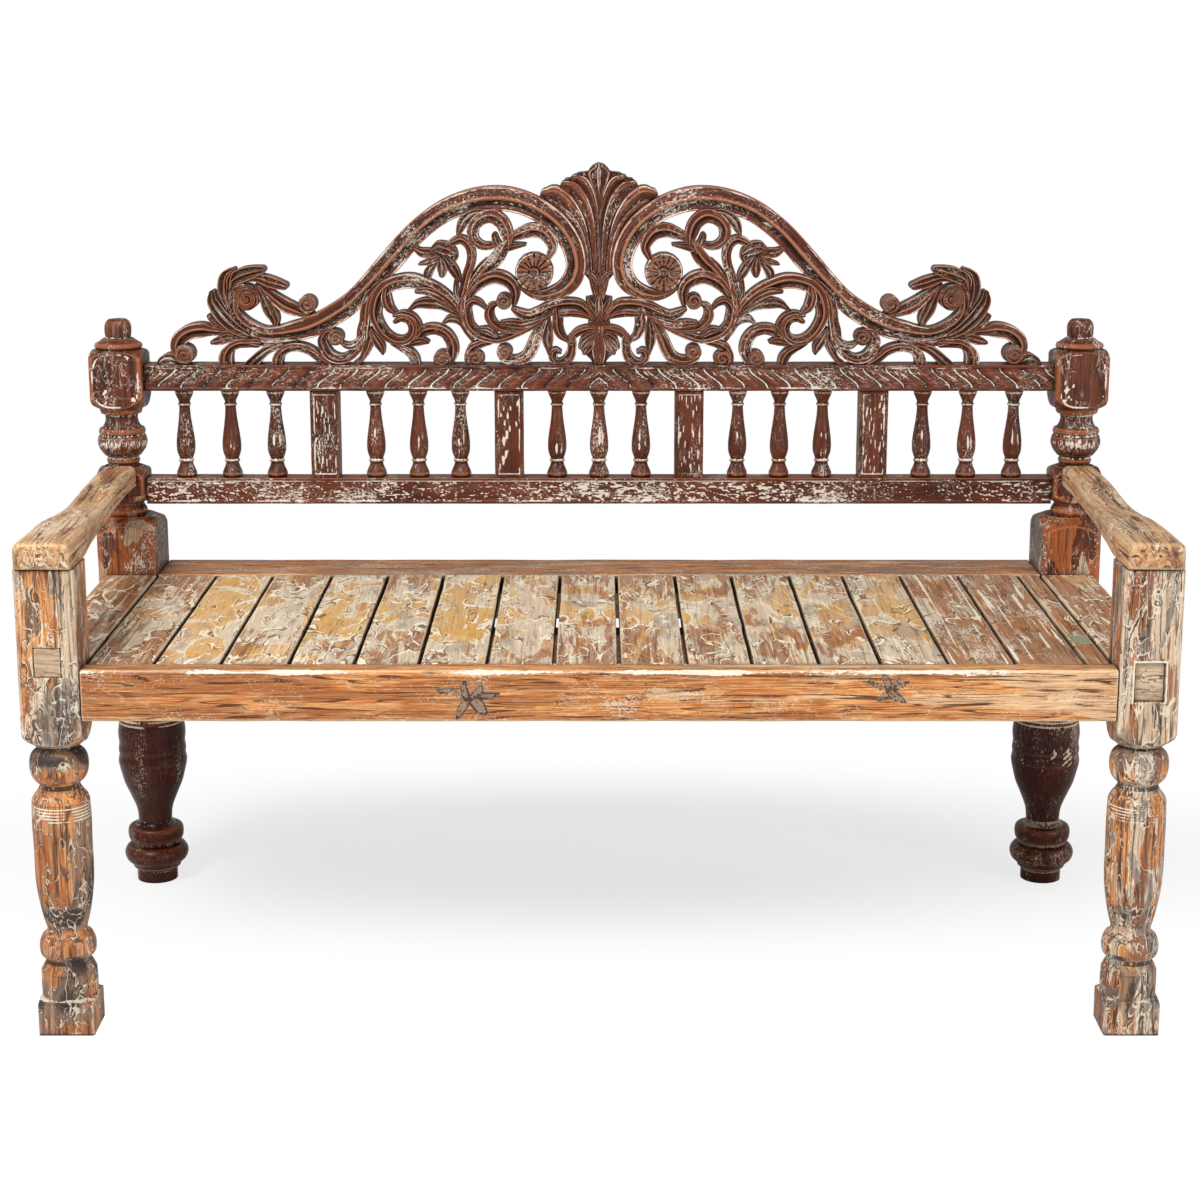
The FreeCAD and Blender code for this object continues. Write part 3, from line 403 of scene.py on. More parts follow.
# Seat, rails and arms
boards = {
    "slatRound": 2.6 * mm,
    "railRound": 4.0 * mm,
    "dent": 0.8 * mm,
    "slatSway": 0.7 * mm,
    "frontRailLip": 34 * mm,
    "slatThickness": 22 * mm,
    "endRound": 2.0 * mm,
    "outlineStep": 2.4 * mm,
    "swayReach": 8 * mm,
}
slatTones = (0.42, 0.72, 0.58, 0.66, 0.55, 0.78, 0.62, 0.46, 0.40, 0.50, 0.50, 0.58, 0.58, 0.24, 0.05, 0.16)
slatPaints = (0.50, 0.58, 0.64, 0.60, 0.58, 0.56, 0.58, 0.64, 0.50, 0.52, 0.50, 0.50, 0.54, 0.66, 0.60, 0.40)
slatWearAndShade = {
    # the side entries paint shade on the slat's faces below its top, seen in the gaps between slats
    "side": 0.85, "sideStart": 3.5 * mm, "sideReach": 6 * mm,
    "edge": 0.30, "edgeReach": 3 * mm,
    "end": 0.55, "endReach": 9 * mm,
    "lip": 0.30, "lipPlace": 28 * mm, "lipReach": 22 * mm,
    "middleTone": 0.3, "middlePlace": 30 * mm, "middleReach": 0.11,
    "streaked": (14, 15), "streak": 0.8, "streakWidth": 4.5 * mm, "streakTop": 3 * mm,
    "stainPlace": 0.13, "stainWide": 0.014, "stainLong": 0.026, "stainTone": 2.0,
}
railWear = {
    "edge": 0.85, "edgePlace": 3 * mm, "edgeWidth": 4.0 * mm, "ragged": 3.5 * mm, "raggedSize": 0.045,
    "low": 0.35, "lowWidth": 5 * mm,
    "lip": 0.75, "lipWidth": 5 * mm,
    "tone": 0.42, "toneSlope": 0.30, "toneReach": 0.5,
    "backShade": 0.55, "backTone": 0.12, "backPaint": 0.62,
    "sideTone": 0.28, "sidePaint": 0.56,
}
knotDrawing = {
    "knots": ((-159, 448, 1.0), (362, 462, 0.75)),       # across, up, size
    "blades": ((1.9, 30, 4.5), (0.9, 26, 4.0), (0.25, 34, 4.5), (-0.9, 34, 6.5), (-2.2, 36, 5.0),
               (2.8, 44, 4.0)),                           # angle, length, width
    "sway": 3 * mm, "swaySize": 0.02, "core": 4 * mm, "fill": 0.44, "line": 0.95,
}


def boardRings(axis, low, high, section, seed, roundness, sway=0.0, step=7 * mm):
    # axis 0 runs along X, 1 along Y, 2 along Z; section is an outline in the other two axes
    outline = roundedOutline(section, roundness, boards["outlineStep"])
    rings = extruded(outline, axis, low, high, step, boards["endRound"])
    if sway > 0:
        middle = rings.mean(axis=1, keepdims=True)
        shift = np.clip(sway * (wobble(rings * (1, 1, 0.1), 0.10, seed) * 0.5 + 0.5), 0, sway)
        upper = within((rings[:, :, 2] - middle[:, :, 2]) / boards["swayReach"])
        rings[:, :, 0] += np.sign(middle - rings)[:, :, 0] * shift * upper
    return worn(rings, boards["dent"], 0.045, seed)


def knotShade(x, z, knot):
    # splintered knot: grey blades of unlike length around a point, each with a dark outline
    shape = knotDrawing
    across, up, size = knot
    spots = np.stack([x, np.zeros_like(x), z], axis=-1)
    dx = x - across * mm + shape["sway"] * wobble(spots, shape["swaySize"], 311)
    dz = (z - up * mm) * 1.1 + shape["sway"] * wobble(spots, shape["swaySize"], 312)
    shade = near(np.hypot(dx, dz), 0, shape["core"] * size)
    for angle, reach, wide in shape["blades"]:
        along = (dx * math.cos(angle) + dz * math.sin(angle)) / (reach * mm * size)
        aside = np.abs(dz * math.cos(angle) - dx * math.sin(angle)) / (wide * mm * size)
        half = np.sin(np.pi * within(along)) ** 0.7
        inside = (aside < half) & (along > 0) & (along < 1)
        edge = near(aside, half, 0.28) * ((along > 0) & (along < 1)) + near(aside, 0, 0.10) * inside
        shade = strongest(shade, shape["fill"] * inside, shape["line"] * within(edge))
    return shade


def buildSlat(number, node, tone, paint, isLast, slatWood):
    wear = slatWearAndShade
    low, high = nodeBox(node)
    rings = boardRings(1, low[1], high[1], boxSection(low, high, 0, 2), number, boards["slatRound"],
                       boards["slatSway"], 5 * mm)
    x, y, z = np.moveaxis(rings, 2, 0)
    fromEdge = np.minimum(x - low[0], high[0] - x)
    inMiddle = near(y, (low[1] + high[1]) / 2 + wear["middlePlace"], wear["middleReach"]) - 0.5
    # painted shade: faces below the top, seen in the gaps between slats, darkened
    side = wear["side"] * within((high[2] - wear["sideStart"] - z) / wear["sideReach"])
    shade = strongest(side, wear["edge"] * near(fromEdge, 0, wear["edgeReach"]),
                      wear["end"] * near(y, low[1], wear["endReach"]))
    mark = wear["lip"] * near(y, low[1] + wear["lipPlace"], wear["lipReach"])
    if number in wear["streaked"]:
        lines = wobble(rings * (1, 0.03, 1), wear["streakWidth"], 350 + number)
        lines = within(lines * 1.7 - 1.0)
        mark = np.maximum(mark, wear["streak"] * lines * (z > high[2] - wear["streakTop"]))
    tone = tone + wear["middleTone"] * inMiddle
    if isLast:
        across = (x - (low[0] + high[0]) / 2) / wear["stainWide"]
        along = (y - low[1] - wear["stainPlace"]) / wear["stainLong"]
        edge = 1 + 0.4 * wobble(rings, 0.012, 321)
        tone = np.where(across ** 2 + along ** 2 < edge, wear["stainTone"], tone)
    part = skinPart(rings, "y", seedOffset(number), tone=tone, paint=paint, shade=shade, mark=mark)
    makePiece([part], node, slatWood, "slat%02d" % number)


def buildFrontRail(reach, railWood):
    wear = railWear
    low, high = nodeBox("front_rail")
    lip = low[1] + boards["frontRailLip"]
    rest = high[2] - boards["slatThickness"]
    section = [(low[1], low[2]), (high[1], low[2]), (high[1], rest), (lip, rest), (lip, high[2]),
               (low[1], high[2])]
    rings = boardRings(0, -reach, reach, section, 31, boards["railRound"], 0, 1.6 * mm)
    x, y, z = np.moveaxis(rings, 2, 0)
    flat = rings * (1, 0.1, 0.1)
    width = wear["edgeWidth"] + 0.6 * wear["ragged"] * wobble(flat, wear["raggedSize"], 301)
    onFront = within((low[1] + 3 * mm - y) / (2 * mm))
    onTop = within((low[1] + 8 * mm - y) / (4 * mm))
    mark = wear["edge"] * near(z, high[2] - wear["edgePlace"], width) * onTop
    mark *= 0.70 + 0.35 * wobble(flat, 0.10, 302)
    mark = np.maximum(mark, wear["low"] * near(z, low[2], wear["lowWidth"]) * onFront)
    shade = strongest(np.zeros_like(x), *(knotShade(x, z, knot) * onFront for knot in knotDrawing["knots"]))
    shade = np.maximum(shade, wear["lip"] * near(y, lip, wear["lipWidth"]) * (z > rest))
    tone = wear["tone"] + wear["toneSlope"] * np.clip(x / wear["toneReach"], -1, 1)
    part = skinPart(rings, "x", seedOffset(31), mark=mark, shade=shade, tone=within(tone))
    makePiece([part], "front_rail", railWood)


def buildSeat(slatWood, railWood):
    slats = sorted(node for node in frame["nodes"] if node.startswith("seat_slat_"))
    for number, (node, tone, paint) in enumerate(zip(slats, slatTones, slatPaints), 1):
        buildSlat(number, node, tone, paint, number == len(slats), slatWood)
    reach = frontPostX - frontPostSize / 2
    buildFrontRail(reach, railWood)
    backLow, backHigh = nodeBox("back_rail")
    rings = boardRings(0, -reach, reach, boxSection(backLow, backHigh, 1, 2), 32, boards["railRound"])
    shade = railWear["backShade"] * within(wobble(rings * (0.12, 1, 1), 0.011, 303) * 1.2 + 0.15)
    part = skinPart(rings, "x", seedOffset(32), tone=railWear["backTone"], paint=railWear["backPaint"],
                    shade=shade)
    makePiece([part], "back_rail", railWood)
    for side, sign in sides.items():
        low, high = nodeBox("side_rail_" + side)
        rings = boardRings(1, frontPostY + frontPostSize / 2, backLow[1], boxSection(low, high, 0, 2),
                           34 + sign, boards["railRound"])
        part = skinPart(rings, "y", seedOffset(34 + sign), tone=railWear["sideTone"],
                        paint=railWear["sidePaint"])
        makePiece([part], "side_rail_" + side, slatWood)
    print("seat: %d slats and four rails" % len(slats))


armShape = {
    "thickness": 36 * mm,
    "frontWidth": 72 * mm,
    "backWidth": 49 * mm,
    "edgeRadius": 12 * mm,
    "cornerPoints": 9,
    "sidePoints": 22,
    "step": 3.5 * mm,
    "endRound": 5.5 * mm,
    "endRows": ((0.0, 1.0), (0.2, 0.45), (0.6, 0.1)),
    "dent": 1.3 * mm,
    "tone": 0.35,
    "endMark": 0.12,
}
# share of the length, share of the way in to the back post, share of the thickness
armSectionShares = (
    (0.012, 0.0, 0.985), (0.15, 0.0, 1.0), (0.29, 0.25, 0.92), (0.43, 0.50, 0.72), (0.54, 0.66, 0.64),
    (0.64, 0.78, 0.69), (0.75, 0.90, 0.82), (0.88, 1.0, 0.88), (1.0, 1.0, 0.86),
)


def armOutline(x, width, low, top):
    # arm section: generous rounding above, small below
    left, right = x - width / 2, x + width / 2
    corners = np.array([(left, low), (right, low), (right, top), (left, top)])
    radii = [boards["railRound"]] * 2 + [armShape["edgeRadius"]] * 2
    ends = []
    for k, (corner, radius) in enumerate(zip(corners, radii)):
        before, after = corners[k - 1] - corner, corners[(k + 1) % 4] - corner
        ends.append((corner + before / np.linalg.norm(before) * radius,
                     corner + after / np.linalg.norm(after) * radius))
    outline = []
    for k, (corner, (begin, end)) in enumerate(zip(corners, ends)):
        for share in np.linspace(0, 1, armShape["cornerPoints"]):
            outline.append(begin * (1 - share) ** 2 + corner * 2 * share * (1 - share) + end * share ** 2)
        following = ends[(k + 1) % 4][0]
        for share in np.linspace(0, 1, armShape["sidePoints"])[1:-1]:
            outline.append(end * (1 - share) + following * share)
    return np.array(outline)


def buildArms(armWood):
    shape = armShape
    for side, sign in sides.items():
        low, high = nodeBox("arm_" + side)
        start = low[1]
        length = backPostY - upperBlocks["lowerSize"] / 2 - start
        rows = [(a * length, b * 40 * mm, c * shape["thickness"]) for a, b, c in armSectionShares]
        rings = []
        for along, shift, thick in curveThrough(rows, int(length / shape["step"])):
            inward = shift / (40 * mm)
            width = shape["frontWidth"] + (shape["backWidth"] - shape["frontWidth"]) * inward
            x = sign * (frontPostX + (bench["backPostAxisX"] - frontPostX) * inward)
            outline = armOutline(x, width, low[2], low[2] + thick)
            if not rings:
                for place, share in shape["endRows"]:
                    ring = shrunk(outline, share * shape["endRound"])
                    rings.append(np.insert(ring, 1, start + place * along, axis=1))
            rings.append(np.insert(outline, 1, start + along, axis=1))
        rings = worn(np.array(rings), shape["dent"], 0.05, 50 + sign)
        mark = shape["endMark"] * near(rings[:, :, 1], start, 3 * mm)
        part = skinPart(rings, "y", (sign, 0.4, 0.2 * sign), mark=mark, tone=shape["tone"] - 0.05 * sign)
        makePiece([part], "arm_" + side, armWood)
    print("arms built")


# Posts and legs
upperBlocks = {
    "seatSizeX": 87 * mm, "seatSizeY": 110 * mm, "seatTop": 566 * mm, "seatShoulder": 24 * mm,
    "seatAxisX": 689.5 * mm,
    "lowerSize": 70 * mm, "lowerBottom": 584 * mm, "lowerTop": 638 * mm,
    "upperSize": 77 * mm, "upperBottom": 722 * mm, "upperTop": 811 * mm,
    "shoulder": 13 * mm, "upperLowShoulder": 19 * mm,
    "turning": 73 * mm, "finial": 41.5 * mm, "around": 160,
}
frontPostShape = {
    "footHeight": 48 * mm, "footShoulder": 8 * mm, "footSize": 72 * mm, "blockBottom": 404 * mm,
    "blockShoulder": 22 * mm, "top": 612 * mm, "legDiameter": 75 * mm, "around": 128,
    "fineRings": (287, 291, 295, 299, 303), "fineRingWidth": 0.9 * mm,
    "plugGap": 0.35 * mm, "plugSink": 9 * mm,
}
# patina of the front posts: heights and widths in metres, shares of the layers
frontPatina = {
    "rings": 0.90, "neck": (0.95, 0.368, 0.017), "bead": (0.45, 0.335, 0.008), "inner": (0.85, 0.220, 0.110),
    "vaseEnd": (0.156, 0.017), "rims": ((1.0, 0.046, 0.0025), (1.0, 0.002, 0.003), (0.7, 0.108, 0.0025)),
    "rim": 0.55, "footTop": 0.106, "streak": 0.62, "streakBottom": 0.38, "toneSplit": 0.36,
    "left": {"all": 1.0, "foot": 0.44, "vase": 0.95, "hole": 0.2, "blockTone": 0.5, "legTone": 0.90},
    "right": {"all": 0.5, "foot": 0.24, "vase": 0.5, "hole": 0.85, "blockTone": 0.44, "legTone": 0.46},
}
plugShape = {
    "round": 1.2 * mm, "swell": 0.5 * mm, "faceReach": 15 * mm, "faceRows": 12,
    "edges": ((0, 1.0 * mm), (0.5 * mm, 0.2 * mm), (1.5 * mm, 0)),       # depth, inset
}
backLegShape = {
    "diameter": 104 * mm, "block": 96 * mm, "blockBottom": 306 * mm, "blockShoulder": 26 * mm,
    "fineRings": (250, 257, 263, 271, 278, 287), "fineRingWidth": 1.5 * mm, "ringMark": 1.1,
    "specks": 0.208, "specksReach": 0.026, "paint": {"left": 0.45, "right": 0.62},
}
backPatina = {
    "bands": ((0.42, 0.672, 0.014), (0.35, 0.500, 0.014)),
    "toneSplit": 0.60, "lowTone": 0.95, "highTone": 0.25,
    "inner": 0.60, "innerReach": 3 * mm, "paintSplit": 0.72, "lowPaint": 0.50, "highPaint": 0.42,
}
blockArc = {"wide": 0.42, "high": 0.43, "power": 3.2, "line": 0.035, "speck": 0.004, "group": 0.022}
balusterShape = {
    "diameter": 30 * mm, "step": 1.1 * mm, "around": 48,
    "streaks": ((-1.75, 0.12, 3, 0.10), (-1.2, 0.1, 2, 0.07)),             # angle, shift, every, width
    "streakPlace": 0.42, "streakReach": 0.2, "streak": 1.05, "paint": 0.42,
    "ends": ((0.97, 0.02), (0.20, 0.015), (0.83, 0.012)), "end": 0.55, "dent": 0.3 * mm,
}
reliefReach = 2.5 * mm


def ringLines(rings, shape, seed):
    # broken pale lines turned into a leg
    lines = sum(near(rings[:, :, 2], height * mm, shape["fineRingWidth"]) for height in shape["fineRings"])
    broken = 0.5 + 0.5 * wobble(rings * (1, 1, 2.5), 0.03, seed)
    return within(lines * within(0.35 + broken))


def mortiseHole(rings, low, high, face, depth):
    # sinks the post's front face behind a plug, with steep walls
    x, y, z = rings[:, :, 0], rings[:, :, 1], rings[:, :, 2]
    inside = (x > low[0]) & (x < high[0]) & (z > low[2]) & (z < high[2]) & (y < face + 4 * mm)
    rings[:, :, 1] = np.where(inside, face + depth, y)
    aside = strongest(low[0] - x, x - high[0], np.maximum(low[2] - z, z - high[2]))
    rim = near(aside, 1.6 * mm, 1.4 * mm) * (y < face + 2 * mm) * ~inside
    return inside, rim


def frontPostLayers(rings, side, sign):
    # pale marks, dark stains and tone of a front post
    wear, own = frontPatina, frontPatina[side]
    z = rings[:, :, 2]
    inner = within((-sign * (rings[:, :, 0] - sign * frontPostX)) / (frontPostSize / 2))
    streaks = np.clip(wobble(rings * (1, 1, 0.25), 0.02, 63 + sign), -0.6, 1)
    patch = wobble(rings * (1, 1, 0.6), 0.022, 67 + sign)
    neck, bead, inward = (wear[key][0] * near(z, *wear[key][1:]) for key in ("neck", "bead", "inner"))
    shade = strongest(neck, bead, inner ** 1.5 * inward) * own["all"] * (0.88 + 0.35 * streaks)
    foot = (own["foot"] + 0.34 * patch) * (z < wear["footTop"])
    vase = own["vase"] * near(z, *wear["vaseEnd"]) * (0.9 + 0.4 * patch)
    split = wear["streak"] * within(streaks * 1.4 - 0.45) * (z > wear["streakBottom"])
    rim = sum(share * near(z, place, width) for share, place, width in wear["rims"])
    mark = wear["rings"] * ringLines(rings, frontPostShape, 61 + sign)
    mark = np.maximum(mark, wear["rim"] * rim * (0.9 + 0.4 * streaks))
    tone = np.where(z > wear["toneSplit"], own["blockTone"], own["legTone"])
    return mark, strongest(shade, foot, vase, split), tone


def buildPlug(side, sign, low, high, plugWood):
    # the plug's face: rows drawn in from its middle, then its slightly rounded edge
    shape, gap = plugShape, 2 * frontPostShape["plugGap"]
    outline = roundedOutline(boxSection(low + gap, high - gap, 0, 2), shape["round"], shape["round"])
    rows = [(low[1], share * shape["faceReach"]) for share in np.linspace(1, 0.1, shape["faceRows"])]
    rows += [(low[1] + depth, inset) for depth, inset in shape["edges"]] + [(high[1], 0)]
    rings = np.array([np.insert(shrunk(outline, inset), 1, place, axis=1) for place, inset in rows])
    rings[:-2, :, 1] += shape["swell"] * (1 + wobble(rings[:-2], 0.012, 66 + sign)).clip(0, 2)
    part = skinPart(rings, "x", seedOffset(64 + sign))
    makePiece([part], "mortise_plug_" + side, plugWood)


def buildFrontPosts(postWood, plugWood):
    shape = frontPostShape
    size = frontPostSize
    for side, sign in sides.items():
        plugLow, plugHigh = nodeBox("mortise_plug_" + side)
        stations = blockStations(0, shape["footHeight"], shape["footSize"], shape["footSize"], 0,
                                 shape["footShoulder"])
        low = shape["footHeight"] - shape["footShoulder"]
        stations += turnedStations(frontLegShares, low, shape["blockBottom"] - low, shape["legDiameter"],
                                   step=1.0 * mm)
        block = blockStations(shape["blockBottom"] - shape["blockShoulder"], shape["top"], size, size,
                              shape["blockShoulder"], 0)
        gap = shape["plugGap"]
        corners = [plugLow - gap, plugLow + gap, plugHigh - gap, plugHigh + gap]
        block += [(corner[2], 2 * size, size / 2, size / 2, 0) for corner in corners]
        stations += sorted(block)
        angles = [math.atan2(-size / 2, corner[0] - sign * frontPostX) for corner in corners]
        rings = postRings(stations, sign * frontPostX, frontPostY, shape["around"], angles)
        relief = gridRelief(rings, reliefReach)
        mark, shade, tone = frontPostLayers(rings, side, sign)
        rings = worn(rings, 0.8 * mm, 0.035, 60 + sign)
        inside, rim = mortiseHole(rings, plugLow, plugHigh, frontPostY - size / 2, shape["plugSink"])
        relief = np.where(inside | (rim > 0.1), 0.0, relief)
        mark = np.maximum(mark, rim * frontPatina[side]["hole"])
        # painted shade: the sunk face inside the hole around the plug is made fully dark
        shade = np.where(inside, 1.0, shade)
        part = skinPart(rings, "z", (0.3 * sign, sign, 0.7), relief=relief, mark=mark,
                        shade=within(shade), tone=tone)
        makePiece([part], "front_post_" + side, postWood)
        buildPlug(side, sign, plugLow, plugHigh, plugWood)
    print("front posts and plugs built")


def blockDrawing(rings, axisX, bottom, top):
    # pale arc cut round the front of the upper block, with specks inside it
    size, arc = upperBlocks["upperSize"], blockArc
    x = np.abs(rings[:, :, 0] - axisX) / (size * arc["wide"])
    z = np.abs(rings[:, :, 2] - (bottom + top) / 2) / ((top - bottom) * arc["high"])
    onFront = rings[:, :, 1] < backPostY - size / 2 + 2 * mm
    corner = (x ** arc["power"] + z ** arc["power"]) ** (1 / arc["power"])
    flat = rings * (1, 0.1, 1)
    specks = within(wobble(flat, arc["speck"], 641))
    clusters = within(wobble(flat, arc["group"], 642) * 1.6 - 0.5)
    broken = within(0.55 + 0.5 * wobble(flat, 0.03, 643))
    line = near(corner, 1.0, arc["line"]) * broken
    return within(line + specks * clusters * (corner < 1)) * onFront


def buildBackPost(side, sign, postWood):
    shape, wear = upperBlocks, backPatina
    shift = sign * (bench["backPostAxisX"] - shape["seatAxisX"])
    turning, shoulder = shape["turning"], shape["shoulder"]
    seatTop, lowerBottom, lowerTop = shape["seatTop"], shape["lowerBottom"], shape["lowerTop"]
    upperBottom, upperTop = shape["upperBottom"], shape["upperTop"]
    lower, upper = shape["lowerSize"], shape["upperSize"]
    stations = blockStations(nodeBox("back_post_" + side)[0][2], seatTop, shape["seatSizeX"],
                             shape["seatSizeY"], 0, shape["seatShoulder"])
    stations += turnedStations(postRingShares, seatTop, lowerBottom - seatTop, turning, shift)
    stations += blockStations(lowerBottom, lowerTop, lower, lower, shoulder, shoulder, shift)
    stations += turnedStations(postVaseShares, lowerTop, upperBottom - lowerTop, turning, shift)
    stations += blockStations(upperBottom, upperTop, upper, upper, shape["upperLowShoulder"], shoulder,
                              shift, 2 * mm)
    stations += turnedStations(postFinialShares, upperTop, shape["finial"], turning, shift)
    rings = postRings(stations, sign * shape["seatAxisX"], backPostY, shape["around"])
    relief = gridRelief(rings, reliefReach)
    z = rings[:, :, 2]
    drawing = blockDrawing(rings, sign * bench["backPostAxisX"], upperBottom, upperTop)
    bands = sum(share * near(z, place, width) for share, place, width in wear["bands"])
    inward = -sign * (rings[:, :, 0] - sign * shape["seatAxisX"]) - shape["seatSizeX"] / 2
    shade = wear["inner"] * within(inward / wear["innerReach"] + 1) * (z < seatTop)
    rings = worn(rings, 0.7 * mm, 0.035, 70 + sign)
    part = skinPart(rings, "z", (0.5 * sign, sign, 0.2), relief=relief, mark=np.maximum(drawing, bands),
                    tone=np.where(z < wear["toneSplit"], wear["lowTone"], wear["highTone"]),
                    paint=np.where(z > wear["paintSplit"], wear["highPaint"], wear["lowPaint"]), shade=shade)
    makePiece([part], "back_post_" + side, postWood)


def buildBackLeg(side, sign, legWood):
    leg = backLegShape
    low, high = nodeBox("back_leg_" + side)
    stations = turnedStations(backLegShares, 0, leg["blockBottom"], leg["diameter"], step=1.2 * mm)
    stations += blockStations(leg["blockBottom"], nodeBox("back_post_" + side)[0][2], leg["block"],
                              leg["block"], leg["blockShoulder"], 0)
    rings = postRings(stations, (low[0] + high[0]) / 2, backPostY)
    relief = gridRelief(rings, reliefReach)
    mark = leg["ringMark"] * ringLines(rings, leg, 81 + sign)
    if side == "right":
        specks = within(wobble(rings, 0.005, 84) - 0.2)
        specks = specks * near(rings[:, :, 2], leg["specks"], leg["specksReach"])
        mark = np.maximum(mark, specks * within(wobble(rings, 0.03, 85) + 0.6))
    rings = worn(rings, 0.6 * mm, 0.04, 80 + sign)
    part = skinPart(rings, "z", (0.9 * sign, sign, 0.4), relief=relief, mark=mark, paint=leg["paint"][side])
    makePiece([part], "back_leg_" + side, legWood)


def buildBackPosts(postWood, legWood):
    for side, sign in sides.items():
        buildBackPost(side, sign, postWood)
        buildBackLeg(side, sign, legWood)
    print("back posts and legs built")


# Back frame
backFrame = {
    "step": 1.3 * mm, "round": 1.5 * mm, "outlineStep": 1.25 * mm, "endRound": 1.0 * mm, "dent": 0.4 * mm,
    "bead": 5 * mm, "beadStep": 2 * mm,
    "ropePitch": 33 * mm, "ropeSlant": 26 * mm, "ropeDepth": 2.2 * mm, "ropeGroove": 150, "ropeLobe": 6,
    "commas": ((0.56, -0.10, 0.035, 0.15, 0.5), (0.30, 0.05, 0.03, 0.45, 0.3)), "commaDepth": 0.9 * mm,
    "veinSize": 5.2 * mm, "fineVeinSize": 4 * mm, "veinWidth": 0.17, "veinDepth": 0.6 * mm,
    "veinReach": 0.35,
    "muntinFrame": 6 * mm, "muntinStep": 1.6 * mm, "muntinLine": 0.9 * mm, "dashSize": 10 * mm,
    "railPaint": {"rope_rail": 0.5, "lower_rail": 0.60}, "muntinPaint": 0.43,
}


def railField(x, z, low, high):
    # place across a rail's sunk field (-1 to 1), the field itself and the points for random swells
    middle = (low[2] + high[2]) / 2
    v = (z - middle) / ((high[2] - low[2]) / 2 - backFrame["bead"])
    field = within((1.04 - np.abs(v)) / 0.08)
    beads = near(np.abs(v), 1.03, 0.05)
    return v, field, beads, np.stack([x, np.zeros_like(x), z], axis=-1)


def ropeCarving(x, z, low, high):
    # depth cut behind the beads, in metres, with its relief and pale lines
    shape = backFrame
    v, field, beads, spots = railField(x, z, low, high)
    lean = shape["ropeSlant"] / 2 * np.sin(v.clip(-1, 1) * math.pi / 2)
    phase = (np.abs(x) + lean) / shape["ropePitch"]
    ridge = np.abs(np.cos(math.pi * phase))
    lobe = shape["ropeDepth"] * ridge ** shape["ropeLobe"]
    comma = sum(near(phase % 1, place + slope * v, width) * near(v, middle, reach)
                for place, slope, width, middle, reach in shape["commas"])
    comma = within(comma)
    depth = field * (shape["beadStep"] * 0.5 + lobe + comma * shape["commaDepth"])
    relief = 0.35 * field * (1 - ridge) - 1.0 * field * ridge ** 20
    scatter = wobble(spots, 0.03, 95)
    lines = strongest(field * ridge ** shape["ropeGroove"], field * comma) * (0.80 + 0.3 * scatter)
    return depth, relief, np.maximum(lines, beads * (0.72 + 0.3 * scatter))


def lowerCarving(x, z, low, high):
    # field of the lower rail, crackled by fine veins that hold paint
    shape = backFrame
    v, field, beads, spots = railField(x, z, low, high)
    thick = 0.5 + 0.5 * wobble(spots * (1, 1, 0.3), 0.16, 93) + 0.25 * (np.abs(x) < shape["veinReach"])
    thick = within(thick)
    veins = np.abs(wobble(spots * (0.42, 1, 1.35), shape["veinSize"], 91))
    veins += 0.25 * np.abs(wobble(spots, shape["fineVeinSize"], 92))
    cut = np.exp(-(veins / (shape["veinWidth"] + 0.20 * thick)) ** 2)
    depth = field * (shape["beadStep"] * 0.5 + cut * shape["veinDepth"])
    mark = field * cut * (1.0 + 0.5 * thick)
    return depth, -0.5 * field * cut, np.maximum(mark, beads * (0.75 + 0.25 * wobble(spots, 0.04, 96)))


def muntinCarving(x, z, low, high, bottom, top):
    # raised frame with a pale line and short dashes inside it
    shape = backFrame
    middle = (low[0] + high[0]) / 2
    fromEdge = np.minimum((high[0] - low[0]) / 2 - np.abs(x - middle), np.minimum(z - bottom, top - z))
    field = within((fromEdge - shape["muntinFrame"]) / (1.2 * mm))
    line = near(fromEdge, shape["muntinFrame"], shape["muntinLine"])
    spots = np.stack([x, np.zeros_like(x), z], axis=-1)
    dash = wobble(spots * (5, 1, 1), shape["dashSize"], 97 + int(low[0] * 1000) % 7)
    dash = within(dash * 2.2 - 1.5)
    mark = np.maximum(line * (0.7 + 0.3 * wobble(spots, 0.03, 98)), field * dash * 0.9)
    return field * shape["muntinStep"], np.zeros_like(x), mark


def carvedBoard(node, axis, low, high, carving, seed, material, paint):
    # a board of the back whose front and back faces are cut by a carving
    shape = backFrame
    nodeLow, nodeHigh = nodeBox(node)
    others = [k for k in (0, 1, 2) if k != axis]
    outline = roundedOutline(boxSection(nodeLow, nodeHigh, *others), shape["round"], shape["outlineStep"])
    rings = extruded(outline, axis, low, high, shape["step"], shape["endRound"])
    relief = gridRelief(rings, 2.0 * mm) * 0.6
    middle = (nodeLow[1] + nodeHigh[1]) / 2
    front = np.abs(rings[:, :, 1] - middle)
    onFace = within((front / front.max() - 0.93) / 0.05)
    depth, cutRelief, mark = carving(rings[:, :, 0], rings[:, :, 2])
    rings[:, :, 1] += np.sign(middle - rings[:, :, 1]) * depth * onFace
    relief = np.where(onFace > 0.5, cutRelief + 0.3 * relief, relief)
    rings = worn(rings, shape["dent"], 0.03, seed)
    part = skinPart(rings, "xyz"[axis], seedOffset(seed), relief=relief, mark=mark * onFace, paint=paint)
    makePiece([part], node, material)


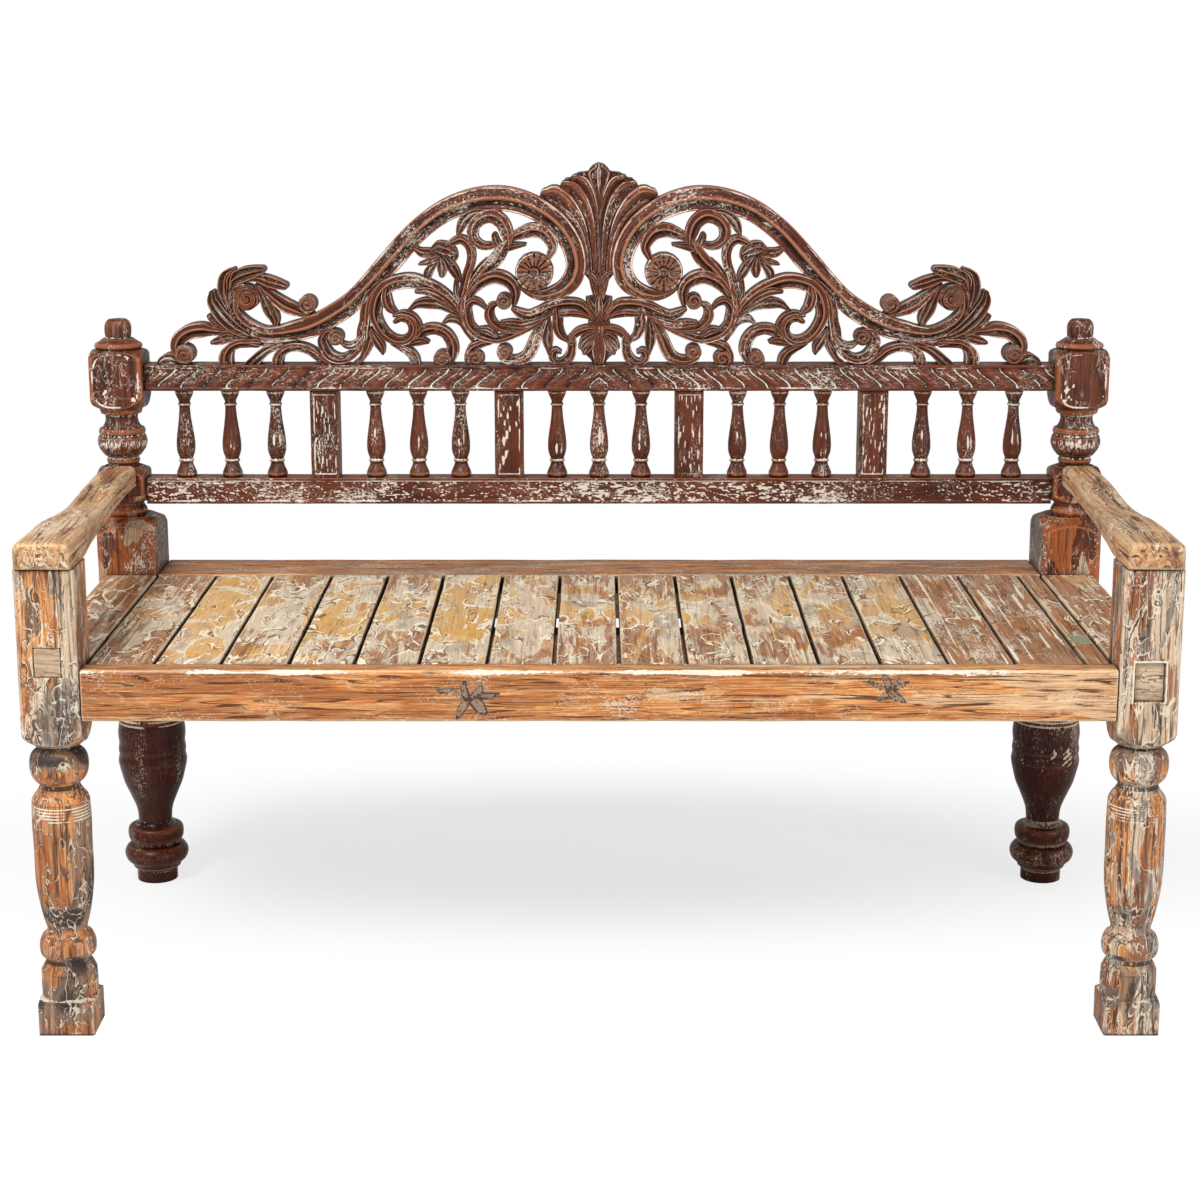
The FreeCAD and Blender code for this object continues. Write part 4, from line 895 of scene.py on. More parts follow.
def buildBaluster(number, node, bottom, top, carvedWood):
    shape = balusterShape
    low, high = nodeBox(node)
    x = (low[0] + high[0]) / 2
    rings = turnedRings(balusterShares, x, backPostY, bottom, top - bottom, shape["diameter"], shape["step"],
                        shape["around"])
    relief = gridRelief(rings, 2.0 * mm)
    angle = np.arctan2(rings[:, :, 1] - backPostY, rings[:, :, 0] - x)
    streak = sum(near(angle, place + shift * (number % every), width)
                 for place, shift, every, width in shape["streaks"])
    share = (rings[:, :, 2] - bottom) / (top - bottom)
    streak *= near(share, shape["streakPlace"], shape["streakReach"])
    streak *= 0.55 + 0.5 * wobble(rings * (1, 1, 1.5), 0.02, number + 400)
    ends = sum(near(share, place, width) for place, width in shape["ends"])
    mark = within(shape["streak"] * streak + shape["end"] * ends)
    rings = worn(rings, shape["dent"], 0.02, 100 + number)
    part = skinPart(rings, "z", (number * 0.217, number * 0.113, number * 0.071), relief=relief, mark=mark,
                    paint=shape["paint"])
    makePiece([part], node, carvedWood)


def buildBackFrame(carvedWood):
    for node, carving, size in (("rope_rail", ropeCarving, "upperSize"),
                                ("lower_rail", lowerCarving, "lowerSize")):
        half = bench["backPostAxisX"] - upperBlocks[size] / 2
        low, high = nodeBox(node)
        carvedBoard(node, 0, -half, half, lambda x, z: carving(x, z, low, high), 40 + len(node),
                    carvedWood, backFrame["railPaint"][node])
    bottom, top = nodeBox("lower_rail")[1][2], nodeBox("rope_rail")[0][2]
    for number in range(1, 5):
        node = "muntin_%d" % number
        low, high = nodeBox(node)
        carvedBoard(node, 2, bottom, top, lambda x, z: muntinCarving(x, z, low, high, bottom, top),
                    44 + number, carvedWood, backFrame["muntinPaint"])
    balusters = sorted(node for node in frame["nodes"] if node.startswith("baluster_"))
    for number, node in enumerate(balusters, 1):
        buildBaluster(number, node, bottom, top, carvedWood)
    print("back frame: rails, 4 muntins, %d balusters" % len(balusters))


# Crest drawing on the carver's template: (out from the middle, up from the rail, width) in squares
bandShares = (
    (339, 72, 3), (345, 77, 4), (353, 78, 5), (360, 73, 7), (362, 63, 9), (361, 52, 11), (355, 43, 13),
    (345, 36, 13), (332, 31, 13), (318, 31, 15), (304, 33, 19), (290, 36, 21), (276, 42, 21), (262, 50, 21),
    (250, 58, 21), (238, 69, 20), (226, 81, 21), (204, 105, 23), (177, 134, 22), (148, 154, 22),
    (118, 163, 24), (93, 164, 24), (70, 158, 23), (50, 147, 23), (34, 131, 22), (25, 113, 21), (23, 96, 20),
    (27, 84, 19), (36, 75, 16), (48, 70, 13), (60, 69, 9), (70, 72, 6), (78, 77, 3),
)
strokeShares = {
    "earLeafTop": ((334, 94, 8), (343, 92, 12), (353, 89, 14), (362, 84, 12), (365, 76, 6)),
    "earLeafBack": ((367, 56, 4), (370, 66, 9), (371, 77, 13), (369, 87, 12), (362, 94, 5)),
    "earLeafMiddle": ((383, 71, 6), (383, 64, 10), (378, 54, 13), (370, 44, 13), (361, 36, 11),
        (350, 30, 7)),
    "earLeafLow": ((386, 48, 6), (381, 42, 8), (373, 35, 7), (364, 30, 4)),
    "earLeafHanging": ((337, 77, 5), (332, 67, 9), (327, 55, 12), (322, 45, 9), (321, 37, 3)),
    "earLeafFront": ((350, 84, 3), (338, 86, 8), (325, 82, 11), (312, 78, 8)),
    "earCurl": ((338, 80, 4), (328, 72, 8), (320, 65, 11), (312, 59, 13), (303, 55, 12), (295, 52, 9),
        (285, 50, 5)),
    "tendril": ((370, 32, 5), (384, 33, 9), (395, 34, 15), (407, 32, 15), (416, 26, 15), (420, 17, 12),
        (417, 8, 9)),
    "railRuffle": ((440, -1, 3), (434, 4, 9), (427, 5, 12), (421, 3, 9)),
    "tendrilLeaf": ((384, 22, 5), (376, 24, 9), (366, 27, 8), (354, 28, 5)),
    "archOuter": ((372, -1, 13), (372, 7, 13), (368, 15, 10), (360, 20, 9), (350, 21, 9), (340, 21, 9)),
    "archLeaf": ((347, -1, 12), (338, 8, 10), (328, 15, 8), (317, 19, 7)),
    "underStrap": ((354, 26, 8), (338, 23, 9), (320, 22, 9), (303, 24, 8)),
    "archSecond": ((321, -1, 10), (319, 8, 10), (311, 15, 9), (299, 17, 9), (287, 13, 9), (277, 5, 8),
        (269, 0, 5)),
    "stemLeft": ((214, 84, 4), (222, 76, 7), (229, 66, 9), (232, 54, 10), (233, 43, 10), (235, 34, 11),
        (236, 26, 11), (240, 17, 10), (247, 9, 9), (257, 5, 9), (267, 8, 10), (273, 16, 10), (275, 25, 9),
        (270, 32, 7), (263, 33, 5)),
    "stemLeftTip": ((256, 21, 3), (250, 18, 6), (243, 19, 8), (237, 25, 8)),
    "stemLeftStrand": ((227, 35, 4), (228, 24, 8), (232, 13, 8), (238, 4, 6), (244, 0, 4)),
    "greatScroll": ((137, 50, 6), (146, 62, 11), (158, 72, 13), (172, 79, 14), (186, 83, 15), (198, 82, 15),
        (209, 78, 14), (217, 70, 13), (221, 60, 13), (222, 49, 12), (218, 38, 11), (211, 29, 10),
        (202, 24, 9), (193, 24, 9), (187, 29, 9), (185, 37, 9), (189, 44, 8), (196, 46, 7), (202, 43, 5)),
    "greatScrollCurl": ((210, 76, 6), (211, 66, 10), (208, 57, 9), (203, 52, 5)),
    "greatScrollSheath": ((203, 49, 4), (194, 50, 7), (186, 47, 8), (180, 40, 7), (177, 34, 4)),
    "greatScrollLeaf": ((226, 34, 4), (222, 25, 9), (217, 17, 8), (215, 11, 3)),
    "nodeLeafLow": ((189, 54, 3), (180, 60, 8), (169, 61, 11), (157, 59, 9), (146, 54, 7), (138, 50, 5)),
    "nodeLeafHigh": ((180, 73, 5), (171, 73, 8), (160, 69, 8), (149, 61, 7), (139, 52, 5)),
    "nodeLeafCurl": ((155, 41, 3), (149, 45, 7), (142, 45, 8), (136, 41, 7), (131, 33, 6), (126, 25, 4)),
    "scrollLow": ((181, 26, 6), (174, 33, 11), (163, 35, 11), (153, 31, 11), (147, 22, 12), (146, 11, 12),
        (149, 3, 9)),
    "scrollLowLeaf": ((170, 22, 3), (177, 23, 8), (186, 21, 6)),
    "archThird": ((205, 21, 5), (196, 16, 7), (188, 11, 9), (184, 5, 10), (183, -1, 10)),
    "bud": ((165, 114, 5), (158, 117, 11), (150, 115, 12), (143, 111, 6)),
    "petalLong": ((183, 116, 3), (174, 111, 9), (163, 111, 9)),
    "petalLeft": ((177, 100, 3), (168, 102, 6), (158, 106, 6)),
    "petalDown": ((170, 83, 5), (169, 91, 9), (162, 101, 6)),
    "petalMiddle": ((155, 90, 7), (155, 95, 10), (156, 104, 5)),
    "petalRight": ((153, 107, 4), (147, 99, 9), (142, 91, 9), (138, 84, 4)),
    "calyx": ((149, 118, 6), (144, 113, 7), (143, 106, 7), (146, 100, 4)),
    "flowerStem": ((149, 119, 5), (143, 122, 8), (136, 124, 9), (129, 119, 9), (126, 110, 9), (127, 100, 9),
        (131, 89, 9), (134, 77, 9), (137, 64, 10), (137, 52, 8)),
    "stemSheath": ((141, 86, 4), (142, 73, 5), (139, 60, 5)),
    "stemBudLeaf": ((111, 102, 7), (117, 95, 9), (125, 86, 6), (130, 78, 3)),
    "ringScroll": ((90, 118, 6), (91, 130, 13), (96, 141, 14), (106, 147, 14), (117, 144, 13),
        (124, 135, 12), (123, 124, 10), (115, 118, 8), (106, 118, 7), (99, 121, 5)),
    "ringSheath": ((112, 152, 4), (124, 149, 9), (133, 142, 11), (137, 134, 8), (139, 128, 3)),
    "mainStem": ((92, 120, 8), (97, 111, 13), (104, 102, 14), (113, 94, 12), (122, 84, 9), (130, 72, 8),
        (136, 60, 8), (137, 50, 7)),
    "stubLeaf": ((103, 128, 6), (101, 121, 8), (97, 113, 6)),
    "stubLeafRight": ((73, 119, 3), (81, 118, 6), (91, 116, 8)),
    "rosetteScroll": ((92, 121, 4), (85, 126, 8), (76, 130, 12), (66, 133, 14), (56, 131, 14),
        (49, 124, 12), (46, 116, 10), (49, 108, 7), (52, 102, 4)),
    "wideScroll": ((113, 56, 3), (118, 61, 6), (125, 63, 8), (131, 57, 10), (131, 47, 11), (128, 38, 10),
        (121, 31, 10), (112, 27, 9), (101, 25, 8), (90, 28, 8), (78, 33, 8), (66, 39, 7), (54, 47, 6),
        (44, 53, 4)),
    "upperScroll": ((136, 56, 7), (130, 68, 10), (122, 78, 12), (113, 84, 13), (103, 87, 14), (94, 85, 14),
        (86, 79, 12), (83, 70, 10), (84, 62, 7)),
    "innerScroll": ((102, 60, 4), (107, 57, 8), (109, 49, 10), (106, 42, 9), (98, 36, 7), (87, 34, 6),
        (76, 35, 5), (66, 38, 4)),
    "innerLeafLow": ((118, 35, 4), (111, 34, 7), (103, 29, 5)),
    "innerLeafHigh": ((97, 41, 4), (88, 41, 7), (76, 40, 8), (64, 43, 7), (54, 47, 5)),
    "broadBand": ((85, 55, 5), (79, 51, 9), (70, 48, 11), (60, 51, 12), (50, 56, 12), (40, 59, 12),
        (30, 60, 12), (20, 59, 11), (13, 54, 9), (8, 46, 6)),
    "broadBandUnder": ((38, 50, 6), (28, 51, 7), (18, 50, 7), (10, 47, 4)),
    "hookScroll": ((42, 54, 8), (41, 46, 11), (41, 38, 11), (38, 30, 9), (33, 25, 5), (28, 22, 4)),
    "leafStem": ((53, 45, 4), (58, 36, 8), (63, 26, 12), (67, 16, 13), (72, 8, 12), (80, 4, 10), (89, 4, 9),
        (96, 7, 8)),
    "middleLeaf": ((50, 45, 4), (51, 34, 9), (51, 24, 11), (50, 16, 7), (50, 11, 3)),
    "footScroll": ((131, 0, 5), (130, 9, 8), (126, 16, 9), (118, 20, 8), (108, 22, 5)),
    "palmetteHook": ((27, 26, 8), (27, 16, 9), (29, 8, 10), (36, 2, 8), (42, 2, 6), (46, 7, 9), (44, 13, 7),
        (39, 12, 4)),
    "palmetteArch": ((28, 26, 6), (21, 32, 8), (12, 35, 8), (5, 36, 5)),
}
discShares = {
    "earVolute": (349, 66, 12), "earCurlVolute": (289, 60, 9), "tendrilVolute": (413, 10, 10),
    "stemLeftVolute": (262, 27, 8), "scrollLowVolute": (156, 5, 9), "footVolute": (123, 5, 9),
    "upperVolute": (94, 63, 8), "leafStemVolute": (94, 12, 8), "rosette": (64, 92, 19),
    "hookKnob": (28, 22, 4),
}


# Crest carving
carving = {
    "squareOut": bench["crestHalfWidth"] / 440,
    "squareUp": bench["crestHeight"] / 199,
    "step": 1.5 * mm,
    "hollow": 7.0,
    "leafTrough": 4.0,
    "fullWidth": 16,                                       # squares across a stroke of full depth
    "frontColumns": 33, "sideRows": 4, "backColumns": 6,
    "endTurns": (86, 70, 50, 28),
    "backEdge": 0.6 * mm, "backSpread": 0.05 * mm, "backPlanes": 23,
    "bendLimit": 0.93, "dent": 0.35 * mm, "leastWidth": 2,
    "foldPitch": 5.2 * mm, "foldDepth": 1.4 * mm,
}
spiral = {"pitch": 5.2, "depth": 2.6, "width": 0.95, "dome": 1.4, "around": 72,
          "turnedBack": ("earVolute", "scrollLowVolute", "leafStemVolute", "stemLeftVolute")}
rosette = {"petals": 16, "groove": 3.4, "petalStart": 0.30, "cup": 1.6, "ring": (2.4, 0.27, 0.05),
           "boss": 0.6, "bossReach": 0.22, "rim": 1.6, "lift": 0.7, "around": 192, "scallop": 0.015}
discRows = {"step": 0.55 * mm, "reach": 1.6 * mm, "start": 0.02, "side": 5}
crestFront = backPostY - bench["crestThickness"] / 2
crestBack = backPostY + bench["crestThickness"] / 2
crestTop = bench["ropeRailTop"] + bench["crestHeight"]
leafNames = (
    "earLeafTop", "earLeafBack", "earLeafMiddle", "earLeafLow", "earLeafHanging", "earLeafFront",
    "tendrilLeaf", "archLeaf", "stemLeftTip", "greatScrollLeaf", "nodeLeafLow", "nodeLeafHigh",
    "nodeLeafCurl", "scrollLowLeaf", "bud", "petalLong", "petalLeft", "petalDown", "petalMiddle",
    "petalRight", "calyx", "stemBudLeaf", "ringSheath", "stubLeaf", "stubLeafRight", "innerLeafLow",
    "innerLeafHigh", "middleLeaf", "underStrap", "greatScrollSheath", "stemSheath", "railRuffle",
)
topNames = ("bud", "petalMiddle", "stubLeaf", "leafStem", "flowerStem", "mainStem", "greatScroll",
            "earLeafMiddle", "earLeafTop", "broadBand")


def sideSign(points):
    # which side of a stroke is its hollow one: +1 left of its way, -1 right of it
    way = np.diff(points[:, :2], axis=0)
    turn = way[:-1, 0] * way[1:, 1] - way[:-1, 1] * way[1:, 0]
    return 1.0 if turn.sum() > 0 else -1.0


def strokeDrop(kind, s, size):
    # how deep the front is cut, in millimetres, over s from -1 to 1 across; size about 1 for 16 squares
    deep = min(1.0, max(0.35, size))
    edge = 0.9 * within((np.abs(s) - 0.86) / 0.14) ** 2
    if kind == "leaf":
        trough = np.sin(np.pi * within(np.abs(s) / 0.92)) ** 0.8
        vein = np.exp(-(s / 0.07) ** 2)
        return deep * (carving["leafTrough"] * trough + 0.9 * (1 - np.abs(s)) - 0.5 * vein) + edge
    if kind == "stem":
        return deep * 2.6 * np.abs(s) ** 2.4 + 1.4 * deep * np.exp(-((s - 0.25) / 0.13) ** 2) + edge
    if kind == "lobe":
        step = 1.6 * within((-0.72 - s) / 0.28) ** 2
        return deep * (step + 5.0 * within((s + 0.45) / 0.75) ** 1.3)
    if kind == "collar":
        return 2.4 * np.abs(s) ** 3
    if kind == "chevron":
        return deep * 2.2 * np.abs(s) ** 1.5 + edge
    ridge = -0.02 if kind == "band" else -0.12
    outer = within((ridge - s) / (ridge + 1))
    inner = within((s - ridge) / (1 - ridge))
    flat = 1.5 * np.sin(np.pi * outer ** 0.8) ** 1.2
    hollow = carving["hollow"] * (1 - (1 - within(inner / 0.55)) ** 2.4) * (1 - 0.2 * inner ** 3)
    rim = 0.5 * np.exp(-((np.abs(s) - 0.84) / 0.05) ** 2)
    return deep * (flat + hollow + rim) + edge * 0.7


# where thin lines of old paint are kept across a stroke: strength, place, width, on both sides
strokeLineRows = {
    "leaf": ((0.55, 0.13, 0.07, True), (0.5, 0.86, 0.06, True)),
    "stem": ((0.5, 0.25, 0.1, False),),
    "collar": ((0.7, 0.9, 0.06, True),),
    "chevron": ((0.7, 0.9, 0.06, True),),
    "lobe": ((0.7, -0.86, 0.07, False), (0.3, 0.9, 0.08, False)),
    "scroll": ((0.62, 0.88, 0.06, False), (0.55, -0.86, 0.07, False), (0.25, 0.03, 0.05, False)),
}


def strokeLines(kind, s):
    rows = strokeLineRows.get(kind, strokeLineRows["scroll"])
    return sum(strength * near(np.abs(s) if mirrored else s, place, width)
               for strength, place, width, mirrored in rows)


def paintLevel(out, up, name):
    # how much old paint a part keeps: most low down and beside the middle
    if name == "band":
        return 0.42
    if out > 284 and up > 40:
        return 0.34
    low = float(within((60 - up) / 60))
    centre = float(within((30 - abs(out - 137)) / 30)) * float(within((90 - up) / 40))
    left = float(within((30 - abs(out - 240)) / 30))
    return 0.42 + 0.14 * max(low, centre, left)


def backPlane(seed):
    # a plane of its own for each part's back
    return crestBack - carving["backSpread"] * (seed % carving["backPlanes"])


def crestSkin(rings, relief, level, mark, seed, way=None):
    return skinPart(rings, "x", (seed * 0.137 % 1, seed * 0.071 % 1, seed * 0.053 % 1), relief=relief,
                    way=way, paint=level, mark=within(mark))


def strokeStations(points):
    # (place, direction, half width, bend) along a stroke with rounded ends, and its size
    unit = (carving["squareOut"], carving["squareUp"], carving["squareOut"])
    scaled = points * unit
    length = np.linalg.norm(np.diff(scaled[:, :2], axis=0), axis=1).sum()
    line = curveThrough(scaled, max(8, int(length / carving["step"])))
    way = np.gradient(line[:, :2], axis=0)
    gap = np.linalg.norm(way, axis=1, keepdims=True)
    way /= gap
    bend = way[:, 0] * np.gradient(way[:, 1]) - way[:, 1] * np.gradient(way[:, 0])
    bend = bend / np.maximum(gap[:, 0], 1e-6)
    bend = np.convolve(np.pad(bend, 3, mode="edge"), np.ones(7) / 7, mode="valid")
    half = np.maximum(line[:, 2], carving["leastWidth"] * unit[0]) / 2
    ends = []
    for at, sign, turns in ((0, -1, carving["endTurns"]), (-1, 1, carving["endTurns"][::-1])):
        for turn in np.radians(turns):
            place = line[at, :2] + sign * way[at] * half[at] * math.sin(turn)
            ends.append((place, way[at], half[at] * math.cos(turn), 0.0))
    count = len(carving["endTurns"])
    size = float(np.max(line[:, 2])) / (carving["fullWidth"] * unit[0])
    return ends[:count] + list(zip(line[:, :2], way, half, bend)) + ends[count:], size


def strokePart(points, kind, lift, seed, name, back=None):
    # skin of one carved stroke: cut front, steep sides, flat back
    shape = carving
    points = np.array(points, float)
    back = back or backPlane(seed)
    stations, size = strokeStations(points)
    hollowSide = 1.0 if name in ("band", "lobe") else sideSign(points)
    columns, sideRows, backColumns = shape["frontColumns"], shape["sideRows"], shape["backColumns"]
    across = np.sin(np.linspace(-math.pi / 2, math.pi / 2, columns)) * 0.35
    across += np.linspace(-1, 1, columns) * 0.65
    drop = strokeDrop(kind, across * hollowSide, size)
    soft = np.interp(across - 0.2, across, drop) / 2 + np.interp(across + 0.2, across, drop) / 2
    # relief from the cut front's own curvature, raised at its outer edges so they take painted highlight;
    # the side walls' values below give their first row painted highlight and the rest painted shade
    bulge = np.clip((soft - drop) * 1.3, -1.3, 1.2) + 0.7 * within((np.abs(across) - 0.9) / 0.1)
    sideRelief = [0.4] + [-0.3] * (sideRows - 1)
    rings, relief, grain = [], [], []
    run = 0.0
    for place, direction, wide, curved in stations:
        normal = np.array([-direction[1], direction[0]])
        limit = shape["bendLimit"] / abs(curved) if abs(curved) > 1e-6 else 1.0
        reach = wide * across
        reach = np.minimum(reach, limit) if curved > 0 else np.maximum(reach, -limit)
        share = min(1.0, wide / (0.5 * size * shape["fullWidth"] * shape["squareOut"]) + 0.15)
        front = crestFront + (lift + drop * share) * mm
        flat = place + reach[:, None] * normal
        ring = [(-a, y, b) for (a, b), y in zip(flat, front)]
        edge = back - shape["backEdge"]
        ring += [(-flat[-1][0], y, flat[-1][1]) for y in np.linspace(front[-1], edge, sideRows + 1)[1:]]
        inset = 1 - shape["backEdge"] / wide if wide > mm else 0.6
        for s in np.linspace(inset, -inset, backColumns):
            spot = place + np.interp(s * wide, reach, reach) * normal
            ring.append((-spot[0], back, spot[1]))
        ring += [(-flat[0][0], y, flat[0][1]) for y in np.linspace(edge, front[0], sideRows + 1)[:-1]]
        if rings:
            middle, before = ring[columns // 2], rings[-1][columns // 2]
            run += math.hypot(middle[0] - before[0], middle[2] - before[2])
        rings.append(ring)
        aside = [*reach, *[reach[-1]] * sideRows, *np.linspace(wide, -wide, backColumns),
                 *[reach[0]] * sideRows]
        grain.append([(run, a, spot[1]) for a, spot in zip(aside, ring)])
        relief.append([*(bulge * share), *sideRelief, *[0] * backColumns, *sideRelief[::-1]])
    rings = np.array(rings)
    rings[:, :, 2] = (rings[:, :, 2] + bench["ropeRailTop"]).clip(bench["ropeRailTop"], crestTop)
    front = rings[:, :columns]
    if kind == "chevron":
        fold = (front[:, :, 2] + 0.9 * np.abs(front[:, :, 0])) / shape["foldPitch"] % 1
        front[:, :, 1] += shape["foldDepth"] * near(fold, 0.5, 0.16)
    front[:, :, 1] += shape["dent"] * (1 + wobble(front * (1, 0.1, 1), 0.012, seed))
    rings[:, :, 1] = rings[:, :, 1].clip(crestFront, crestBack)
    middle = points[len(points) // 2]
    level = paintLevel(middle[0], middle[1], name)
    mark = np.zeros(rings.shape[:2])
    scatter = wobble(rings * (1, 0.2, 1), 0.03, seed + 500)[:, :columns]
    strength = 0.95 + 0.6 * (level - 0.5) + 0.35 * scatter
    mark[:, :columns] = strokeLines(kind, across * hollowSide) * strength
    return crestSkin(rings, np.array(relief), level, mark, seed, np.array(grain))


def spiralDrop(radius, angle, size, turn):
    # V-shaped spiral groove, in millimetres
    pitch = max(spiral["pitch"], size / 1.9 / mm)
    phase = radius / mm / pitch - turn * angle / fullTurn
    away = np.abs(phase - np.round(phase)) * pitch
    groove = spiral["depth"] * np.exp(-(away / spiral["width"]) ** 2)
    dome = spiral["dome"] * (radius / size) ** 4
    swell = 0.8 * (1 - np.cos(fullTurn * phase)) * -0.5 + 0.8
    return groove * np.clip(radius / mm / 2.0, 0.4, 1) + dome + swell * 0.6


def rosetteDrop(share, angle):
    # petals round a ring and a boss, in millimetres
    shape = rosette
    ray = np.abs(np.sin(shape["petals"] * angle / 2))
    groove = (1 - ray) ** 1.8 * shape["groove"] * within((share - shape["petalStart"]) / 0.1)
    span = within((share - shape["petalStart"]) / (1 - shape["petalStart"]))
    cup = shape["cup"] * np.sin(np.pi * span) * ray
    depth, place, width = shape["ring"]
    ring = depth * np.exp(-((share - place) / width) ** 2)
    boss = -shape["boss"] * (1 - within(share / shape["bossReach"]) ** 2)
    rim = shape["rim"] * within((share - 0.9) / 0.1) ** 2
    rim += 0.9 * (1 - ray) * within((share - 0.8) / 0.2)
    return groove + cup + ring + boss + rim + shape["lift"]


def discPart(name, out, up, radius, seed):
    # skin of a volute or of the rosette: rings from its middle outwards, then its side
    isRosette = name == "rosette"
    around = rosette["around"] if isRosette else spiral["around"]
    size = radius * carving["squareOut"]
    centre = (out * carving["squareOut"], up * carving["squareUp"])
    angle = np.linspace(0, fullTurn, around, endpoint=False)
    ray = np.abs(np.sin(rosette["petals"] / 2 * angle))
    scallop = 1 - rosette["scallop"] + rosette["scallop"] * ray if isRosette else np.full(around, 1.0)
    turn = 1 if name in spiral["turnedBack"] else -1
    count = max(10, int(size / discRows["step"]))
    span = np.linspace(discRows["start"], 1, count)
    rings, drops = [], []
    for share in span:
        if isRosette:
            drop = rosetteDrop(share, angle)
        else:
            drop = spiralDrop(share * size, angle, size, turn)
        drops.append(drop)
        spread = share * size * scallop
        rings.append(np.stack([-(centre[0] + spread * np.cos(angle)), crestFront + drop * mm,
                               centre[1] + spread * np.sin(angle)], axis=1))
    drops = np.array(drops)
    steps = max(1, int(discRows["reach"] / (size / count)))
    padded = np.pad(drops, ((steps, steps), (0, 0)), mode="edge")
    relief = (padded[:-2 * steps] + padded[2 * steps:]) / 2 - drops
    if isRosette:
        relief += (np.roll(drops, 4, axis=1) + np.roll(drops, -4, axis=1)) / 2 - drops
    # relief doubled, and on the rosette pushed down in the petal grooves and inner ring, so these grooves
    # take darker painted shade and the ridges painted highlight
    relief *= 2.0
    mark = within(-relief * 0.25 - 0.12)
    if isRosette:
        span = span[:, None]
        mark = 0.50 * near(ray, 0.60, 0.10) * (span > 0.42) + 0.55 * near(span, 0.93, 0.03)
        mark += 0.5 * near(span, 0.20, 0.03)
        relief = relief - 0.8 * near(ray, 0, 0.35) * (span > 0.36) - 1.5 * near(span, 0.29, 0.05)
    for y in np.linspace(crestFront + drops[-1].mean() * mm, backPlane(seed), discRows["side"] + 1)[1:]:
        ring = rings[count - 1].copy()
        ring[:, 1] = y
        rings.append(ring)
    # side rows: relief 0.5 at the top edge gives it painted highlight, -0.3 on the wall gives it painted
    # shade
    low = np.full((discRows["side"], around), -0.3)
    low[0] = 0.5
    relief = np.vstack([relief.clip(-2.2, 0.45), low])
    rings = np.array(rings)
    mark = np.vstack([mark, low * 0]) * (0.8 + 0.4 * wobble(rings * (1, 0.2, 1), 0.02, seed + 500))
    rings[:, :, 2] = np.maximum(rings[:, :, 2] + bench["ropeRailTop"], bench["ropeRailTop"])
    rings[:, :, 1] = rings[:, :, 1].clip(crestFront, crestBack)
    return crestSkin(rings, relief, paintLevel(out, up, name) * 0.85, mark, seed)


def mirroredPart(part, shift):
    other = dict(part)
    other["points"] = part["points"] * (-1, 1, 1)
    other["quads"], other["caps"] = part["quads"][:, ::-1], part["caps"][:, ::-1]
    other["grain"] = part["grain"] + shift
    return other


def buildCrestBoards(carvedWood):
    parts = [strokePart(bandShares, "band", 0.0, 7, "band")]
    for number, (name, points) in enumerate(strokeShares.items(), 11):
        kind = "leaf" if name in leafNames else "scroll"
        lift = 0.3 + 0.2 * (number % 2) if name in topNames else 1.2 + 0.5 * (number % 3)
        parts.append(strokePart(points, kind, lift, number, name))
    for number, (name, disc) in enumerate(discShares.items(), 81):
        parts.append(discPart(name, *disc, number))
    makePiece(parts, "crest_left", carvedWood)
    mirrored = [mirroredPart(part, (0.63, 0.21, 0.37)) for part in parts]
    makePiece(mirrored, "crest_right", carvedWood)
    print("crest boards: %d carved parts each" % len(parts))


# Middle of the crest: shell, tulip, collar and palmette
centreProfile = ((0, 6), (5, 9), (9, 13), (13, 18), (19, 21), (26, 19), (30, 13), (33, 6), (38, 6),
                 (38.2, 8), (43.3, 8), (43.6, 6.5), (52, 10), (61, 13.5), (67, 12.5), (67.4, 7), (73, 6.5),
                 (79, 8), (85, 11), (94, 18), (112, 22), (133, 28), (150, 40), (159, 50), (168.5, 57),
                 (174, 52), (176, 45), (176.5, 36.5), (181, 36), (184, 33), (184.5, 25.5), (187, 25),
                 (190, 20), (190.5, 11), (193, 10), (197, 6), (199, 1.5))
shellStrokes = (
    ("lobe", 0.6, ((51, 168, 14), (44, 168, 19), (36, 163, 19), (27, 154, 15), (19, 141, 11), (13, 123, 7),
                   (10, 106, 5), (9, 95, 4))),
    ("lobe", 0.3, ((33, 177, 10), (27, 175, 13), (20, 168, 13), (13, 156, 10), (8, 141, 7), (5.5, 122, 5),
                   (4.5, 104, 4), (4, 94, 3))),
    ("lobe", 0.0, ((23, 183, 10), (17, 180, 13), (11, 172, 11), (6, 160, 8), (3.2, 145, 5), (2.2, 124, 3.5),
                   (1.8, 104, 3), (1.6, 93, 3))),
    ("lobe", 2.2, ((47, 160, 8), (35, 151, 10), (25, 139, 10), (18, 124, 9), (14.5, 108, 8), (13, 96, 5))),
    ("leaf", 0.2, ((15, 93, 3), (9, 92, 5), (4, 88, 5.5), (1, 81, 4))),
    ("leaf", 1.0, ((9, 90, 3), (7, 82, 5), (5, 74, 5), (3, 67, 4))),
    ("leaf", 0.0, ((11.5, 65, 4), (9, 59, 8), (5, 52, 7), (2, 45, 4))),
    ("leaf", 0.6, ((18, 18, 6), (15, 22, 9), (9, 27, 8), (2.5, 31, 3))),
    ("leaf", 0.9, ((14.5, 12, 5), (11, 17, 8), (6.5, 23, 7), (2, 30, 3))),
)
